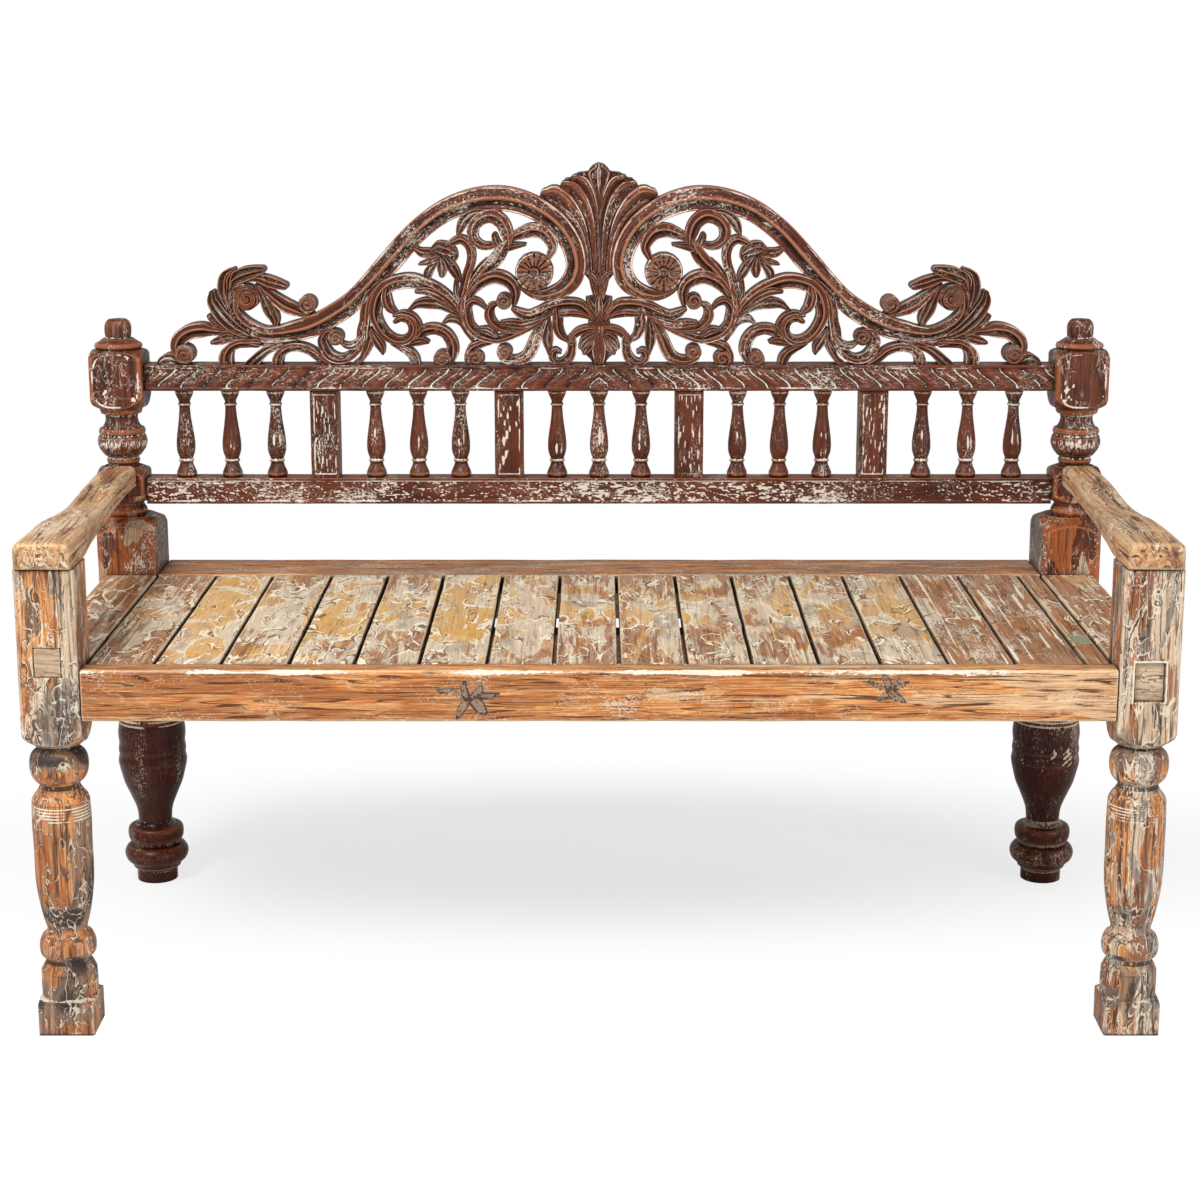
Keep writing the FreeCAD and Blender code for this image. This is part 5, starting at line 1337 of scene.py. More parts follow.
middleStrokes = (
    ("leaf", 1.2, ((0, 195, 8), (0, 189, 21), (0, 178, 15), (0, 165, 6), (0, 158, 3))),
    ("stem", 1.6, ((0, 158, 3), (0, 120, 4), (0, 96, 5), (0, 84, 6), (0, 68, 8))),
    ("leaf", 0.4, ((0, 67, 4), (0, 60, 8), (0, 52, 7), (0, 44, 3))),
    ("collar", 0.0, ((-8.5, 40.8, 5.5), (0, 40.8, 5.5), (8.5, 40.8, 5.5))),
    ("stem", 0.8, ((0, 38, 12), (0, 35, 11), (0, 32, 9))),
    ("chevron", 0.0, ((0, 31, 4), (0, 25, 10), (0, 17, 14), (0, 10, 13), (0, 4, 10), (0, 0, 9))),
)


slab = {"front": 5.0 * mm, "rowStep": 0.8, "inset": 0.8 * mm, "least": 1.5 * mm,
        "across": 21, "side": 8, "back": 9}
crestPartBack = {"shell": 2 * mm, "middle": 2.2 * mm}      # in front of the crest's back


def centreSlab():
    # the middle's body behind its strokes, from the profile's half widths
    rows = np.arange(0, 199.01, slab["rowStep"])
    table = np.array(centreProfile, float)
    wide = np.interp(rows, table[:, 0], table[:, 1]) * carving["squareOut"]
    rings = []
    front = crestFront + slab["front"]
    for up, half in zip(rows, wide):
        z = bench["ropeRailTop"] + up * carving["squareUp"]
        half = max(half - slab["inset"], slab["least"])
        line = [(x, front) for x in np.linspace(-half, half, slab["across"])]
        line += [(half, y) for y in np.linspace(front, crestBack, slab["side"])[1:]]
        line += [(x, crestBack) for x in np.linspace(half, -half, slab["back"])[1:]]
        line += [(-half, y) for y in np.linspace(crestBack, front, slab["side"])[1:-1]]
        rings.append([(x, y, z) for x, y in line])
    # relief held at -0.6 so the slab seen between the strokes takes the painted shade of a hollow
    return skinPart(rings, "z", (0.3, 0.8, 0.5), relief=-0.6, paint=0.5)


def buildCrestCentre(carvedWood):
    parts = [centreSlab()]
    for number, (kind, lift, points) in enumerate(shellStrokes, 201):
        part = strokePart(points, kind, lift, number, kind, crestBack - crestPartBack["shell"])
        parts.append(part)
        parts.append(mirroredPart(part, (0.4, 0.3, 0.2)))
    for number, (kind, lift, points) in enumerate(middleStrokes, 231):
        parts.append(strokePart(points, kind, lift, number, kind, crestBack - crestPartBack["middle"]))
    makePiece(parts, "crest_centre", carvedWood)
    print("crest centre: %d carved parts" % len(parts))


# Materials
def linear(color):
    # screen colour 0 to 255 into the renderer's scale
    result = []
    for value in color:
        share = value / 255
        result.append(share / 12.92 if share <= 0.04045 else ((share + 0.055) / 1.055) ** 2.4)
    return (*result, 1.0)


class Net:
    # short names for wiring shader nodes in one tree
    def __init__(self, tree):
        self.tree = tree

    def put(self, socket, value):
        if isinstance(value, bpy.types.NodeSocket):
            self.tree.links.new(value, socket)
        else:
            socket.default_value = value

    def node(self, kind, **settings):
        node = self.tree.nodes.new(kind)
        for name, value in settings.items():
            setattr(node, name, value)
        return node

    def layer(self, name, output):
        return self.node("ShaderNodeAttribute", attribute_name=name).outputs[output]

    def math(self, operation, first, second=0.0, clamp=False):
        node = self.node("ShaderNodeMath", operation=operation, use_clamp=clamp)
        self.put(node.inputs[0], first)
        self.put(node.inputs[1], second)
        return node.outputs[0]

    def times(self, first, second):
        return self.math("MULTIPLY", first, second)

    def plus(self, first, second, clamp=False):
        return self.math("ADD", first, second, clamp)

    def minus(self, first, second, clamp=False):
        return self.math("SUBTRACT", first, second, clamp)

    def most(self, first, second):
        return self.math("MAXIMUM", first, second)

    def distance(self, first, second):
        return self.math("ABSOLUTE", self.minus(first, second))

    def ramp(self, value, low, high, start=0.0, end=1.0):
        node = self.node("ShaderNodeMapRange", interpolation_type="SMOOTHSTEP")
        for socket, part in zip(node.inputs, (value, low, high, start, end)):
            self.put(socket, part)
        return node.outputs[0]

    def scaled(self, vector, factors, shift=(0, 0, 0)):
        node = self.node("ShaderNodeVectorMath", operation="MULTIPLY_ADD")
        for socket, part in zip(node.inputs, (vector, factors, shift)):
            self.put(socket, part)
        return node.outputs[0]

    def enlarged(self, vector, scale):
        node = self.node("ShaderNodeVectorMath", operation="SCALE")
        self.put(node.inputs[0], vector)
        self.put(node.inputs["Scale"], scale)
        return node.outputs[0]

    def noise(self, vector, detail=3.0, rough=0.5, bend=0.0):
        node = self.node("ShaderNodeTexNoise")
        self.put(node.inputs["Vector"], vector)
        for name, part in (("Scale", 1.0), ("Detail", detail), ("Roughness", rough), ("Distortion", bend)):
            self.put(node.inputs[name], part)
        return node.outputs[0]

    def mix(self, factor, first, second):
        node = self.node("ShaderNodeMix", data_type="RGBA")
        self.put(node.inputs[0], factor)
        self.put(node.inputs[6], first)
        self.put(node.inputs[7], second)
        return node.outputs[2]


def newGroup(name, vectors, values, outputs):
    # a node group with vector inputs, value inputs and value outputs
    tree = bpy.data.node_groups.new(name, "ShaderNodeTree")
    for labels, way, kind in ((vectors, "INPUT", "Vector"), (values, "INPUT", "Float"),
                              (outputs, "OUTPUT", "Float")):
        for label in labels:
            tree.interface.new_socket(name=label, in_out=way, socket_type="NodeSocket" + kind)
    net = Net(tree)
    return net, net.node("NodeGroupInput").outputs, net.node("NodeGroupOutput").inputs


woodGrain = {
    "swayStretch": (2.5, 9, 9),
    "ringStretch": (3.0, 42, 42), "ringCount": 5.0, "ringSway": 7.0,
    "ringRise": (0.0, 0.75), "ringFall": (1.0, 0.86),
    "lineStretch": (1.8, 42, 42), "lineCount": 9.0, "lineRise": (0.70, 0.86), "lineFall": (1.0, 0.95),
    "gapStretch": (9, 90, 90), "gapEdge": (0.36, 0.52),
    "fibreStretch": (16, 520, 520),
    "poreStretch": (75, 1300, 1300), "poreEdge": (0.60, 0.72),
    "streakStretch": (5, 190, 190), "streakEdge": (0.55, 0.66), "paleEdge": (0.42, 0.33),
    "crackStretch": (9, 150, 150), "crackLevel": 0.40, "crackSway": 0.03, "crackEdge": (0.024, 0.016),
    "crackPlaces": (0.43, 0.50),
    "fibreHeight": 0.6, "ringHeight": 0.25, "poreHeight": 0.4,
}


def grainGroup():
    # growth rings, fibres and short pores along the first coordinate
    shape = woodGrain
    net, given, result = newGroup("woodGrain", ["Space"], ["Size"],
                                  ["Rings", "Lines", "Fibre", "Pores", "Streak", "Pale", "Crack", "Height"])
    space = net.enlarged(given["Space"], given["Size"])
    sway = net.noise(net.scaled(space, shape["swayStretch"]), 2.0)
    turned = net.noise(net.scaled(space, shape["ringStretch"]), 3.0, 0.55, 0.6)
    waves = net.plus(net.times(turned, shape["ringCount"]), net.times(sway, shape["ringSway"]))
    waves = net.math("FRACT", waves)
    rings = net.times(net.ramp(waves, *shape["ringRise"]), net.ramp(waves, *shape["ringFall"]))
    lines = net.noise(net.scaled(space, shape["lineStretch"], (7, 3, 1)), 2.0, 0.5, 0.3)
    lines = net.math("FRACT", net.times(lines, shape["lineCount"]))
    broken = net.noise(net.scaled(space, shape["gapStretch"], (2, 8, 5)), 2.0)
    broken = net.ramp(broken, *shape["gapEdge"])
    lines = net.times(net.ramp(lines, *shape["lineRise"]), net.ramp(lines, *shape["lineFall"]))
    lines = net.times(lines, broken)
    fibre = net.noise(net.scaled(space, shape["fibreStretch"]), 3.0, 0.65)
    pores = net.noise(net.scaled(space, shape["poreStretch"]), 2.0, 0.6)
    pores = net.ramp(pores, *shape["poreEdge"])
    broad = net.noise(net.scaled(space, shape["streakStretch"], (1, 2, 3)), 4.0, 0.6, 0.3)
    crack = net.noise(net.scaled(space, shape["crackStretch"], (4, 1, 6)), 3.0, 0.55, 0.4)
    crack = net.plus(net.distance(crack, shape["crackLevel"]), net.times(sway, shape["crackSway"]))
    sunk = net.plus(net.times(rings, shape["ringHeight"]), net.times(pores, shape["poreHeight"]))
    height = net.minus(net.times(fibre, shape["fibreHeight"]), sunk)
    streak = net.ramp(broad, *shape["streakEdge"])
    pale = net.ramp(broad, *shape["paleEdge"])
    crack = net.times(net.ramp(crack, *shape["crackEdge"]), net.ramp(sway, *shape["crackPlaces"]))
    for name, value in (("Rings", rings), ("Lines", lines), ("Fibre", fibre), ("Pores", pores),
                        ("Height", height), ("Streak", streak), ("Pale", pale), ("Crack", crack)):
        net.put(result[name], value)
    return net.tree


blotches = {
    "fineStretch": (110, 420, 420), "level": 0.80, "reach": 0.60, "edge": (-0.006, 0.012),
    "rimCore": 0.55,
}


def patchGroup():
    # blotches drawn out along the grain, and the raised rim of old paint around each
    net, given, result = newGroup("patches", ["Space", "Stretch"],
                                  ["Amount", "Ragged", "Detail", "RimWidth"], ["Mask", "Rim"])
    place = net.scaled(given["Space"], given["Stretch"])
    broad = net.noise(place, given["Detail"], 0.58, 0.5)
    fine = net.noise(net.scaled(given["Space"], blotches["fineStretch"]), 2.0, 0.6)
    value = net.plus(broad, net.times(net.minus(fine, 0.5), given["Ragged"]))
    level = net.minus(blotches["level"], net.times(given["Amount"], blotches["reach"]))
    over = net.minus(value, level)
    net.put(result["Mask"], net.ramp(over, *blotches["edge"]))
    away = net.math("ABSOLUTE", over)
    core = net.times(given["RimWidth"], blotches["rimCore"])
    net.put(result["Rim"], net.ramp(away, given["RimWidth"], core))
    return net.tree


remnants = {
    "cloudStretch": (11, 26, 26), "gritStretch": (120, 330, 330), "grainStretch": (260, 420, 420),
    "gritShare": 1.8, "cloudShare": 1.1,
    "reliefShare": -0.28, "levelShare": 1.5, "levelRest": 1.10, "grooveEdge": (0.08, 0.20),
    "markGrit": 0.55, "markEdge": (0.40, 0.50),
    "spotShare": 0.9, "spotLevel": 0.22, "fleckEdge": (1.17, 1.22),
    "lineStretch": (0.45, 1, 1), "lineGrit": 0.010, "linePlaces": (0.42, 0.50),
    # the second line runs just beside the first as a painted shadow, so the pale line looks raised
    "lines": (("Line", 0.52, 0.020), ("Under", 0.555, 0.015)),
    # ridges by their relief: the worn colour there is partly real wear and partly painted highlight
    "wearGrit": 0.9, "wearEdge": (0.10, 0.80),
    "shadeGrit": 0.22, "greyEdge": (0.26, 0.36), "darkEdge": (0.52, 0.72),
}


def remainsGroup():
    # paint left in the grooves, as flecks on open faces and as thin lines, with a painted shadow line beside
    # the pale ones; also the mask of ridges for wear and painted highlight, and the grey and dark stain
    # masks
    shape = remnants
    net, given, result = newGroup("paintRemains", ["Space"],
                                  ["Relief", "Level", "Mark", "Shade", "LineScale"],
                                  ["Groove", "Fleck", "Line", "Under", "Wear", "Mark", "Grey", "Dark"])
    space = given["Space"]
    cloud = net.noise(net.scaled(space, shape["cloudStretch"]), 3.0, 0.6)
    grit = net.noise(net.scaled(space, shape["gritStretch"]), 3.0, 0.65)
    grain = net.noise(net.scaled(space, shape["grainStretch"], (3, 5, 7)), 2.0, 0.6)
    level = given["Level"]
    roughly = net.plus(net.times(net.minus(grit, 0.5), shape["gritShare"]),
                       net.times(net.minus(cloud, 0.5), shape["cloudShare"]))
    groove = net.plus(net.times(given["Relief"], shape["reliefShare"]), roughly)
    groove = net.plus(groove, net.minus(net.times(level, shape["levelShare"]), shape["levelRest"]))
    net.put(result["Groove"], net.ramp(groove, *shape["grooveEdge"]))
    mark = net.plus(given["Mark"], net.times(roughly, shape["markGrit"]))
    net.put(result["Mark"], net.ramp(mark, *shape["markEdge"]))
    spots = net.plus(net.times(cloud, shape["spotShare"]), net.times(grain, shape["spotShare"]))
    spots = net.plus(spots, net.times(level, shape["spotLevel"]))
    net.put(result["Fleck"], net.ramp(spots, *shape["fleckEdge"]))
    contour = net.enlarged(net.scaled(space, shape["lineStretch"], (9, 4, 2)), given["LineScale"])
    contour = net.noise(contour, 2.0, 0.5, 0.9)
    contour = net.plus(contour, net.times(net.minus(grit, 0.5), shape["lineGrit"]))
    there = net.ramp(cloud, *shape["linePlaces"])
    for name, middle, wide in shape["lines"]:
        line = net.ramp(net.distance(contour, middle), wide, wide * 0.5)
        net.put(result[name], net.times(line, there))
    # raised ridges: mask for real wear and painted highlight
    wear = net.plus(given["Relief"], net.times(net.minus(grit, 0.5), shape["wearGrit"]))
    net.put(result["Wear"], net.ramp(wear, *shape["wearEdge"]))
    shade = net.plus(given["Shade"], net.times(roughly, shape["shadeGrit"]))
    net.put(result["Grey"], net.ramp(shade, *shape["greyEdge"]))
    net.put(result["Dark"], net.ramp(shade, *shape["darkEdge"]))
    return net.tree


groups = {"grain": grainGroup(), "patch": patchGroup(), "remains": remainsGroup()}
# the corner cover sets painted shade in crevices; the hollow, line-shadow and worn covers set painted shade
# in hollows, a painted shadow beside pale lines and painted highlight on ridges (partly real wear)
lookDefaults = {
    "rings": 0.35, "fibre": 0.4, "pores": 0.3, "streak": 0.5, "pale": 0.5, "growth": 0.3, "crack": 0.9,
    "grainSize": 1.0, "toneStretch": (6, 18, 18), "toneGrain": 1.0, "plainSwirl": 1.0, "patches": (),
    "wornCover": 0.4, "dirtCover": 0.55, "grey": (140, 128, 116), "greyCover": 0.7, "darkCover": 0.85,
    "underCover": 0.4, "paintShift": 0.0, "paintCover": 0.45, "fleckCover": 0.7, "markCover": 0.9,
    "lineCover": 0.45, "lineScale": 60.0, "corner": 0.8, "cornerReach": 12 * mm, "cornerSamples": 6,
    "rough": 0.5, "paintRough": 0.25, "fibreRough": 0.12, "wornRough": 0.1, "specular": 0.5, "bump": 0.7,
    "bumpDepth": 0.8 * mm, "grainBump": 0.5, "paintBump": 0.6, "crackBump": 0.8,
}
patchDefaults = {
    "toneShift": 0.0, "shift": (0.1, 0.6, 0.2), "ragged": 0.1, "detail": 4.0, "cover": 0.9,
    "rimWidth": 0.01, "rimCover": 0.8,
}


# ramp edges: the hollow and corner ramps set where painted shade falls
fades = {"tone": (0.38, 0.62), "plain": (0.62, 0.30), "fibre": (0.56, 0.36), "dirt": (-0.10, -1.0),
         "swirl": (0.30, 0.15), "stain": (1.3, 1.5), "corner": (0.85, 0.25)}


def useGroup(net, name, **given):
    node = net.node("ShaderNodeGroup", node_tree=groups[name])
    for label, value in given.items():
        net.put(node.inputs[label], value)
    return node.outputs


def finish(name, look):
    # weathered wood from one look: base tones, patches, ridges lightened as wear and painted highlight,
    # hollows darkened as dirt and painted shade, painted shade in crevices, paint, fine lines with a painted
    # shadow beside them
    look = {**lookDefaults, **look}
    # deep and hollow colours serve for painted shade in creases and hollows as well as for cracks and
    # stains; without their own they take the grime colour
    for key in ("deep", "dirt", "streakColor", "growthColor"):
        look.setdefault(key, look["grime"])
    material = bpy.data.materials.new(name)
    material.use_nodes = True
    net = Net(material.node_tree)
    shader = material.node_tree.nodes["Principled BSDF"]
    space = net.layer("grainSpace", "Vector")
    layer = {key: net.layer(key, "Fac") for key in layerDefaults}
    level = net.plus(layer["paint"], look["paintShift"])
    grain = useGroup(net, "grain", Space=space, Size=look["grainSize"])
    remains = useGroup(net, "remains", Space=space, Relief=layer["relief"], Level=level, Mark=layer["mark"],
                       Shade=layer["shade"], LineScale=look["lineScale"])

    def over(color, mask, cover, tint):
        return net.mix(net.times(mask, look[cover]), color, linear(look[tint]))

    tone = net.noise(net.scaled(space, look["toneStretch"]), 4.0, 0.6)
    color = net.mix(net.ramp(tone, *fades["tone"]), linear(look["dark"]), linear(look["mid"]))
    color = over(color, grain["Rings"], "rings", "light")
    raised = 0.0
    for patch in look["patches"]:
        patch = {**patchDefaults, **patch}
        sway = net.times(net.minus(layer["tone"], 0.5), patch["toneShift"])
        cover = useGroup(net, "patch", Space=net.scaled(space, (1, 1, 1), patch["shift"]),
                         Stretch=patch["stretch"], Amount=net.plus(sway, patch["amount"]),
                         Ragged=patch["ragged"], Detail=patch["detail"], RimWidth=patch["rimWidth"])
        color = net.mix(net.times(cover["Mask"], patch["cover"]), color, linear(patch["color"]))
        if "rim" in patch:
            rim = net.times(cover["Rim"], patch["rimCover"])
            color = net.mix(rim, color, linear(patch["rim"]))
            raised = net.most(raised, rim)
    plain = net.ramp(layer["tone"], *fades["plain"], look["toneGrain"])
    for mask, cover, tint in (("Streak", "streak", "streakColor"), ("Pale", "pale", "line"),
                              ("Lines", "growth", "growthColor")):
        share = net.times(net.times(grain[mask], look[cover]), plain)
        color = net.mix(share, color, linear(look[tint]))
    color = over(color, net.ramp(grain["Fibre"], *fades["fibre"]), "fibre", "grime")
    color = over(color, grain["Pores"], "pores", "grime")
    # worn colour on raised ridges: partly real wear, partly painted highlight
    worn = net.times(remains["Wear"], look["wornCover"])
    color = net.mix(worn, color, linear(look["worn"]))
    # hollows (negative relief) darkened: partly grime, partly painted shade
    color = over(color, net.ramp(layer["relief"], *fades["dirt"]), "dirtCover", "dirt")
    color = over(color, remains["Grey"], "greyCover", "grey")
    color = over(color, remains["Dark"], "darkCover", "deep")
    crack = net.times(grain["Crack"], look["crack"])
    color = net.mix(crack, color, linear(look["deep"]))
    # painted shadow: a dark line beside each pale contour line so it looks raised
    color = over(color, remains["Under"], "underCover", "dirt")
    swirl = net.ramp(layer["tone"], *fades["swirl"], 1.0, look["plainSwirl"])
    swirl = net.times(net.times(remains["Line"], look["lineCover"]), swirl)
    color = net.mix(swirl, color, linear(look["line"]))
    if "stain" in look:
        color = net.mix(net.ramp(layer["tone"], *fades["stain"]), color, linear(look["stain"]))
    laid = net.most(net.times(remains["Groove"], look["paintCover"]),
                    net.times(remains["Fleck"], look["fleckCover"]))
    laid = net.most(laid, net.times(remains["Mark"], look["markCover"]))
    color = net.mix(laid, color, linear(look["paint"]))
    # painted shade: ambient occlusion darkens creases, seams and corners with the deep colour
    corner = net.node("ShaderNodeAmbientOcclusion", samples=look["cornerSamples"])
    corner.inputs["Distance"].default_value = look["cornerReach"]
    corner = net.ramp(corner.outputs["AO"], *fades["corner"])
    net.put(shader.inputs["Base Color"], over(color, corner, "corner", "deep"))
    rough = net.plus(net.times(laid, look["paintRough"]), look["rough"])
    rough = net.plus(rough, net.times(grain["Fibre"], look["fibreRough"]), True)
    rough = net.minus(rough, net.times(worn, look["wornRough"]), True)
    net.put(shader.inputs["Roughness"], rough)
    shader.inputs["Specular IOR Level"].default_value = look["specular"]
    lines = net.most(raised, swirl)
    height = net.times(grain["Height"], look["grainBump"])
    height = net.plus(height, net.times(net.most(laid, lines), look["paintBump"]))
    height = net.minus(height, net.times(crack, look["crackBump"]))
    bump = net.node("ShaderNodeBump")
    bump.inputs["Strength"].default_value = look["bump"]
    bump.inputs["Distance"].default_value = look["bumpDepth"]
    net.put(bump.inputs["Height"], height)
    net.put(shader.inputs["Normal"], bump.outputs[0])
    return material


paintWhite = (236, 226, 212)
# each look's grime colour also paints the shade in hollows and crevices where no deep or hollow colour of
# its own is given; its worn colour is real wear and painted highlight on ridges
looks = {
    "carved": {
        "dark": (70, 32, 20), "mid": (106, 51, 31), "light": (134, 71, 43), "rings": 0.25,
        "worn": (192, 126, 90), "wornCover": 0.66, "grime": (26, 12, 8), "fibre": 0.32, "pores": 0.2,
        "streak": 0.25, "pale": 0.08, "crack": 0.3, "dirtCover": 0.95, "growth": 0.2, "corner": 0.9,
        "paint": paintWhite, "paintCover": 0.75, "fleckCover": 0.6, "line": (224, 210, 194),
        "lineCover": 0.22, "lineScale": 110.0, "rough": 0.36, "specular": 0.28, "bump": 0.6,
    },
    "backPost": {
        "dark": (70, 33, 21), "mid": (106, 53, 33), "light": (136, 75, 46), "paintCover": 0.85,
        "rings": 0.3, "worn": (180, 104, 62), "wornCover": 0.6, "grime": (26, 13, 9), "pale": 0.18,
        "crack": 0.8, "dirtCover": 0.85, "growth": 0.5, "corner": 0.85, "grey": (92, 74, 64),
        "paint": paintWhite, "line": (226, 212, 192), "lineScale": 70.0, "rough": 0.38, "specular": 0.28,
        "paintShift": 0.04,
        "patches": (
            {"color": (172, 96, 48), "stretch": (8, 24, 24), "amount": 0.2, "toneShift": 0.8,
             "shift": (0.3, 0.1, 0.2)},
            {"color": (206, 180, 146), "stretch": (9, 26, 26), "amount": 0.14, "toneShift": 0.45,
             "shift": (0.7, 0.5, 0.9), "rim": (232, 214, 188)},
        ),
    },
    "frontPost": {
        "dark": (170, 92, 44), "mid": (218, 140, 72), "light": (240, 188, 128), "toneStretch": (5, 22, 22),
        "worn": (238, 220, 192), "wornCover": 0.45, "grime": (86, 58, 42), "deep": (40, 32, 29),
        "dirt": (58, 43, 35), "dirtCover": 0.9, "greyCover": 0.6, "streak": 0.75,
        "streakColor": (68, 42, 29), "growth": 0.85, "growthColor": (54, 36, 27), "grey": (112, 102, 94),
        "paint": (240, 228, 208), "paintCover": 0.6, "fleckCover": 0.5, "line": (240, 226, 202),
        "lineCover": 0.65, "lineScale": 52.0, "underCover": 0.85, "specular": 0.4,
        "patches": (
            {"color": (216, 192, 162), "stretch": (6, 26, 26), "amount": 0.44, "toneShift": -0.75,
             "shift": (0.3, 0.1, 0.2), "rim": (240, 228, 208), "rimWidth": 0.014},
            {"color": (150, 138, 126), "stretch": (8, 34, 34), "amount": 0.38, "shift": (0.7, 0.5, 0.9),
             "toneShift": -0.5, "rim": (236, 222, 200)},
            {"color": (146, 84, 48), "stretch": (8, 40, 40), "amount": 0.4, "shift": (0.2, 0.8, 0.6),
             "toneShift": -0.4},
            {"color": (78, 66, 60), "stretch": (9, 46, 46), "amount": 0.32, "shift": (0.9, 0.2, 0.4),
             "toneShift": -0.25, "cover": 0.8},
        ),
    },
    "backLeg": {
        "dark": (50, 19, 11), "mid": (70, 27, 16), "light": (88, 37, 22), "rings": 0.2,
        "worn": (168, 92, 64), "wornCover": 0.7, "grime": (20, 8, 6), "fibre": 0.35, "pores": 0.25,
        "streak": 0.2, "pale": 0.1, "crack": 0.3, "paint": (214, 194, 168), "fleckCover": 0.4,
        "growth": 0.1, "line": (150, 112, 84), "lineCover": 0.08, "rough": 0.22, "specular": 0.2,
        "dirtCover": 0.6, "grainBump": 0.2, "corner": 0.6,
    },
    "rail": {
        "dark": (192, 110, 52), "mid": (232, 152, 82), "light": (248, 190, 124), "rings": 0.5,
        "toneStretch": (3, 24, 24), "worn": (246, 222, 186), "wornCover": 0.5, "grime": (100, 52, 27),
        "deep": (50, 33, 25), "fibre": 0.45, "streak": 0.45, "streakColor": (140, 74, 34), "growth": 0.95,
        "growthColor": (80, 40, 20), "corner": 0.85, "grey": (132, 120, 108), "underCover": 0.25,
        "grainSize": 1.5, "paint": (248, 236, 216), "fleckCover": 0.35, "line": (246, 214, 172),
        "lineCover": 0.2, "rough": 0.55, "specular": 0.3,
        "patches": (
            {"color": (236, 196, 152), "stretch": (4, 34, 34), "amount": 0.33, "toneShift": 0.9,
             "shift": (0.4, 0.1, 0.3), "cover": 0.8},
            {"color": (156, 92, 50), "stretch": (5, 50, 50), "amount": 0.42, "toneShift": -0.6,
             "cover": 0.6},
            {"color": (150, 128, 104), "stretch": (6, 34, 34), "amount": 0.12, "toneShift": -0.5,
             "shift": (0.5, 0.2, 0.9), "cover": 0.6},
        ),
    },
    "slat": {
        "dark": (204, 144, 90), "mid": (232, 188, 134), "light": (246, 214, 168),
        "toneStretch": (5, 16, 16), "worn": (248, 226, 192), "wornCover": 0.5, "grime": (112, 72, 44),
        "deep": (50, 34, 26), "fibre": 0.3, "streak": 0.75, "streakColor": (128, 76, 40), "pale": 1.0,
        "toneGrain": 0.15, "plainSwirl": 0.25, "stain": (146, 160, 128), "growthColor": (120, 74, 44),
        "grey": (150, 118, 88), "greyCover": 0.55, "underCover": 0.85, "paint": (252, 242, 220),
        "paintCover": 0.55, "line": (252, 240, 212), "lineCover": 0.95, "lineScale": 27.0, "bump": 1.0,
        "growth": 0.75, "specular": 0.35,
        "patches": (
            {"color": (232, 216, 190), "stretch": (8, 17, 17), "amount": 0.55, "ragged": 0.02,
             "detail": 1.5, "cover": 0.8, "shift": (0.5, 0.7, 0.3), "rim": (252, 240, 214),
             "rimWidth": 0.016},
            {"color": (232, 176, 88), "stretch": (7, 15, 15), "amount": 0.3, "ragged": 0.015, "detail": 1.2,
             "toneShift": 0.8, "cover": 0.75, "shift": (0.8, 0.1, 0.6), "rim": (252, 238, 206),
             "rimWidth": 0.018},
            {"color": (178, 166, 150), "stretch": (9, 22, 22), "amount": 0.34, "ragged": 0.03,
             "detail": 2.0, "toneShift": -0.2, "cover": 0.6, "shift": (0.3, 0.4, 0.1)},
            {"color": (172, 106, 58), "stretch": (7, 34, 34), "amount": 0.4, "toneShift": -0.8,
             "ragged": 0.12, "cover": 0.75, "shift": (0.6, 0.2, 0.8)},
        ),
    },
    "arm": {
        "dark": (182, 120, 70), "mid": (214, 158, 102), "light": (232, 188, 138), "rings": 0.75,
        "grainSize": 0.8, "worn": (232, 196, 150), "grime": (110, 70, 44), "deep": (56, 38, 28),
        "streakColor": (124, 76, 46), "crack": 0.8, "growth": 1.0, "growthColor": (76, 44, 26),
        "paint": (242, 228, 204), "paintCover": 0.4, "fleckCover": 0.35, "line": (242, 220, 184),
        "lineCover": 0.75, "lineScale": 56.0, "rough": 0.42, "underCover": 0.7,
        "patches": (
            {"color": (228, 202, 166), "stretch": (5, 22, 22), "amount": 0.36, "shift": (0.5, 0.4, 0.1)},
            {"color": (150, 96, 60), "stretch": (6, 36, 36), "amount": 0.4},
        ),
    },
    "plug": {
        "dark": (184, 152, 120), "mid": (214, 186, 154), "light": (230, 206, 176), "corner": 0.7,
        "rings": 0.3, "worn": (232, 208, 176), "grime": (66, 50, 40), "fibre": 0.25, "pores": 0.4,
        "streak": 0.4, "streakColor": (140, 110, 84), "pale": 0.4, "crack": 1.0, "grainSize": 1.6,
        "paint": (226, 212, 192), "paintCover": 0.3, "fleckCover": 0.3, "line": (70, 52, 42),
        "lineCover": 0.85, "lineScale": 70.0, "rough": 0.6,
    },
    "hidden": {
        "dark": (124, 86, 56), "mid": (156, 112, 74), "light": (178, 136, 94), "pale": 0.3, "crack": 0.7,
        "corner": 0.7, "rings": 0.4, "worn": (150, 110, 76), "wornCover": 0.0, "grime": (70, 48, 34),
        "fibre": 0.5, "pores": 0.4, "paint": (160, 140, 116), "paintCover": 0.0, "fleckCover": 0.0,
        "markCover": 0.0, "line": (150, 120, 90), "lineCover": 0.0, "rough": 0.7,
    },
}
materials = {name: finish(name + "Wood", look) for name, look in looks.items()}
print("materials made:", ", ".join(materials))


def dressHidden(material):
    # sawn wood on the parts nobody sees; they keep the frame's own mesh
    for node in ("slat_bearer", "slat_ledger", "crest_dowels", "rail_pegs", "seat_pegs"):
        piece = bpy.data.objects[node]
        mesh = piece.data
        points = np.empty(len(mesh.vertices) * 3, dtype=np.float32)
        mesh.vertices.foreach_get("co", points)
        mesh.attributes.new("grainSpace", "FLOAT_VECTOR", "POINT").data.foreach_set("vector", points)
        for index in range(len(mesh.materials)):
            mesh.materials[index] = material
    print("hidden parts dressed")


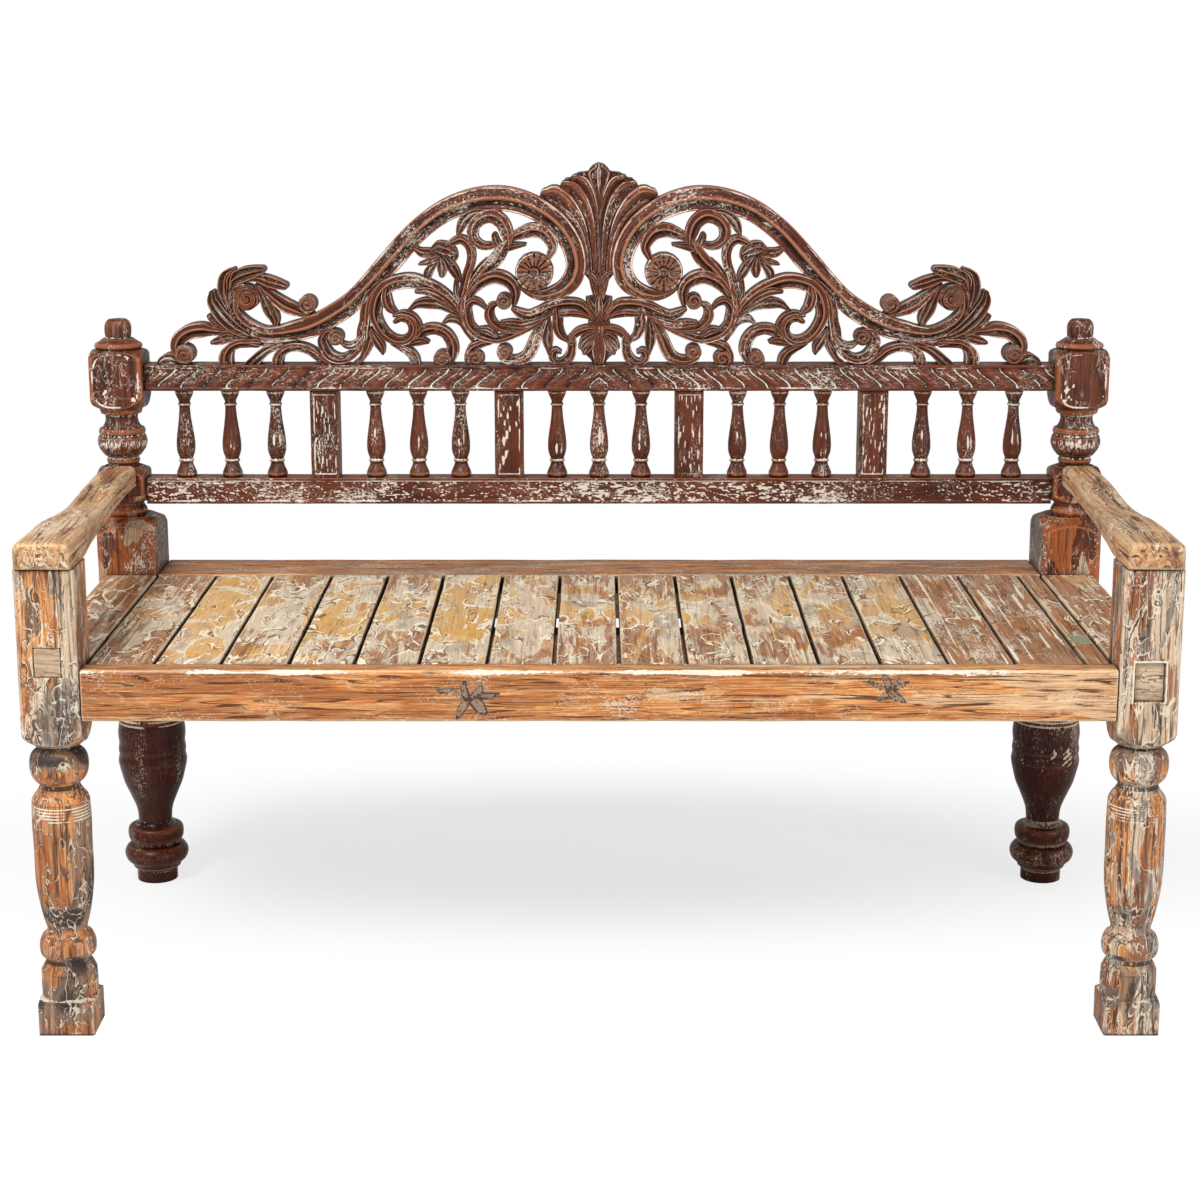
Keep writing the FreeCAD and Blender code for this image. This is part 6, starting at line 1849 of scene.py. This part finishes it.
buildSeat(materials["slat"], materials["rail"])
buildArms(materials["arm"])
buildFrontPosts(materials["frontPost"], materials["plug"])
buildBackPosts(materials["backPost"], materials["backLeg"])
buildBackFrame(materials["carved"])
buildCrestBoards(materials["carved"])
buildCrestCentre(materials["carved"])
dressHidden(materials["hidden"])


# Floor, light and camera
studio = {
    "worldLight": 0.44,
    "keyPower": 100, "keySize": 1.2, "keyPlace": (-1.5, -2.0, 3.2), "keyTarget": (0, 0, 0.6),
    "fillPower": 34, "fillSize": 1.6, "fillPlace": (2.6, -2.2, 1.5), "fillTarget": (0, 0, 0.5),
    "floorGlow": 0.66, "glowNear": 0.30, "glowFar": 1.0,
    "glowStretch": (0.75, 1.9, 1), "glowShift": (0, -0.8, 0),
    "floorReach": 6, "floorColor": (0.9, 0.9, 0.9, 1), "white": (1, 1, 1, 1),
    "cameraPlace": (0, -3.2565, 1.249), "cameraPitch": 77.03, "lens": 73.16,
    "shiftX": 0.0008, "sensor": 36,
}
scene = bpy.context.scene


def areaLight(name, power, size, place, target):
    lamp = bpy.data.lights.new(name, "AREA")
    lamp.energy = power
    lamp.size = size
    light = bpy.data.objects.new(name, lamp)
    light.location = place
    way = np.array(target, float) - np.array(place, float)
    yaw = math.atan2(-way[0], way[1])
    light.rotation_euler = (math.atan2(math.hypot(way[0], way[1]), -way[2]), 0, yaw)
    scene.collection.objects.link(light)


def buildStudio():
    mesh = bpy.data.meshes.new("floor")
    reach = studio["floorReach"]
    corners = [(-reach, -reach, 0), (reach, -reach, 0), (reach, reach, 0), (-reach, reach, 0)]
    mesh.from_pydata(corners, [], [(0, 1, 2, 3)])
    floor = bpy.data.objects.new("floor", mesh)
    scene.collection.objects.link(floor)
    material = bpy.data.materials.new("paleFloor")
    material.use_nodes = True
    net = Net(material.node_tree)
    net.tree.nodes.clear()
    path = net.node("ShaderNodeLightPath")
    diffuse = net.node("ShaderNodeBsdfDiffuse")
    diffuse.inputs["Color"].default_value = studio["floorColor"]
    glow = net.node("ShaderNodeEmission")
    glow.inputs["Color"].default_value = studio["white"]
    mixed = net.node("ShaderNodeMixShader")
    place = net.node("ShaderNodeNewGeometry").outputs["Position"]
    place = net.scaled(place, studio["glowStretch"], studio["glowShift"])
    away = net.node("ShaderNodeVectorMath", operation="LENGTH")
    net.put(away.inputs[0], place)
    share = net.ramp(away.outputs["Value"], studio["glowNear"], studio["glowFar"], studio["floorGlow"])
    net.put(mixed.inputs[0], net.times(path.outputs["Is Camera Ray"], share))
    net.put(mixed.inputs[1], diffuse.outputs[0])
    net.put(mixed.inputs[2], glow.outputs[0])
    net.put(net.node("ShaderNodeOutputMaterial").inputs["Surface"], mixed.outputs[0])
    mesh.materials.append(material)
    world = bpy.data.worlds.new("studioWorld")
    world.use_nodes = True
    scene.world = world
    net = Net(world.node_tree)
    background = world.node_tree.nodes["Background"]
    path = net.node("ShaderNodeLightPath")
    straight = net.times(path.outputs["Is Camera Ray"], 1 - studio["worldLight"])
    background.inputs["Color"].default_value = studio["white"]
    net.put(background.inputs["Strength"], net.plus(straight, studio["worldLight"]))
    for name in ("key", "fill"):
        areaLight(name + "Light", *(studio[name + part] for part in ("Power", "Size", "Place", "Target")))
    camera = bpy.data.cameras.new("camera")
    camera.lens = studio["lens"]
    camera.sensor_width = studio["sensor"]
    camera.shift_x = studio["shiftX"]
    seen = bpy.data.objects.new("camera", camera)
    seen.location = studio["cameraPlace"]
    seen.rotation_euler = (math.radians(studio["cameraPitch"]), 0, 0)
    scene.collection.objects.link(seen)
    scene.camera = seen
    scene.view_settings.view_transform = "Standard"
    print("floor, light and camera placed")


buildStudio()
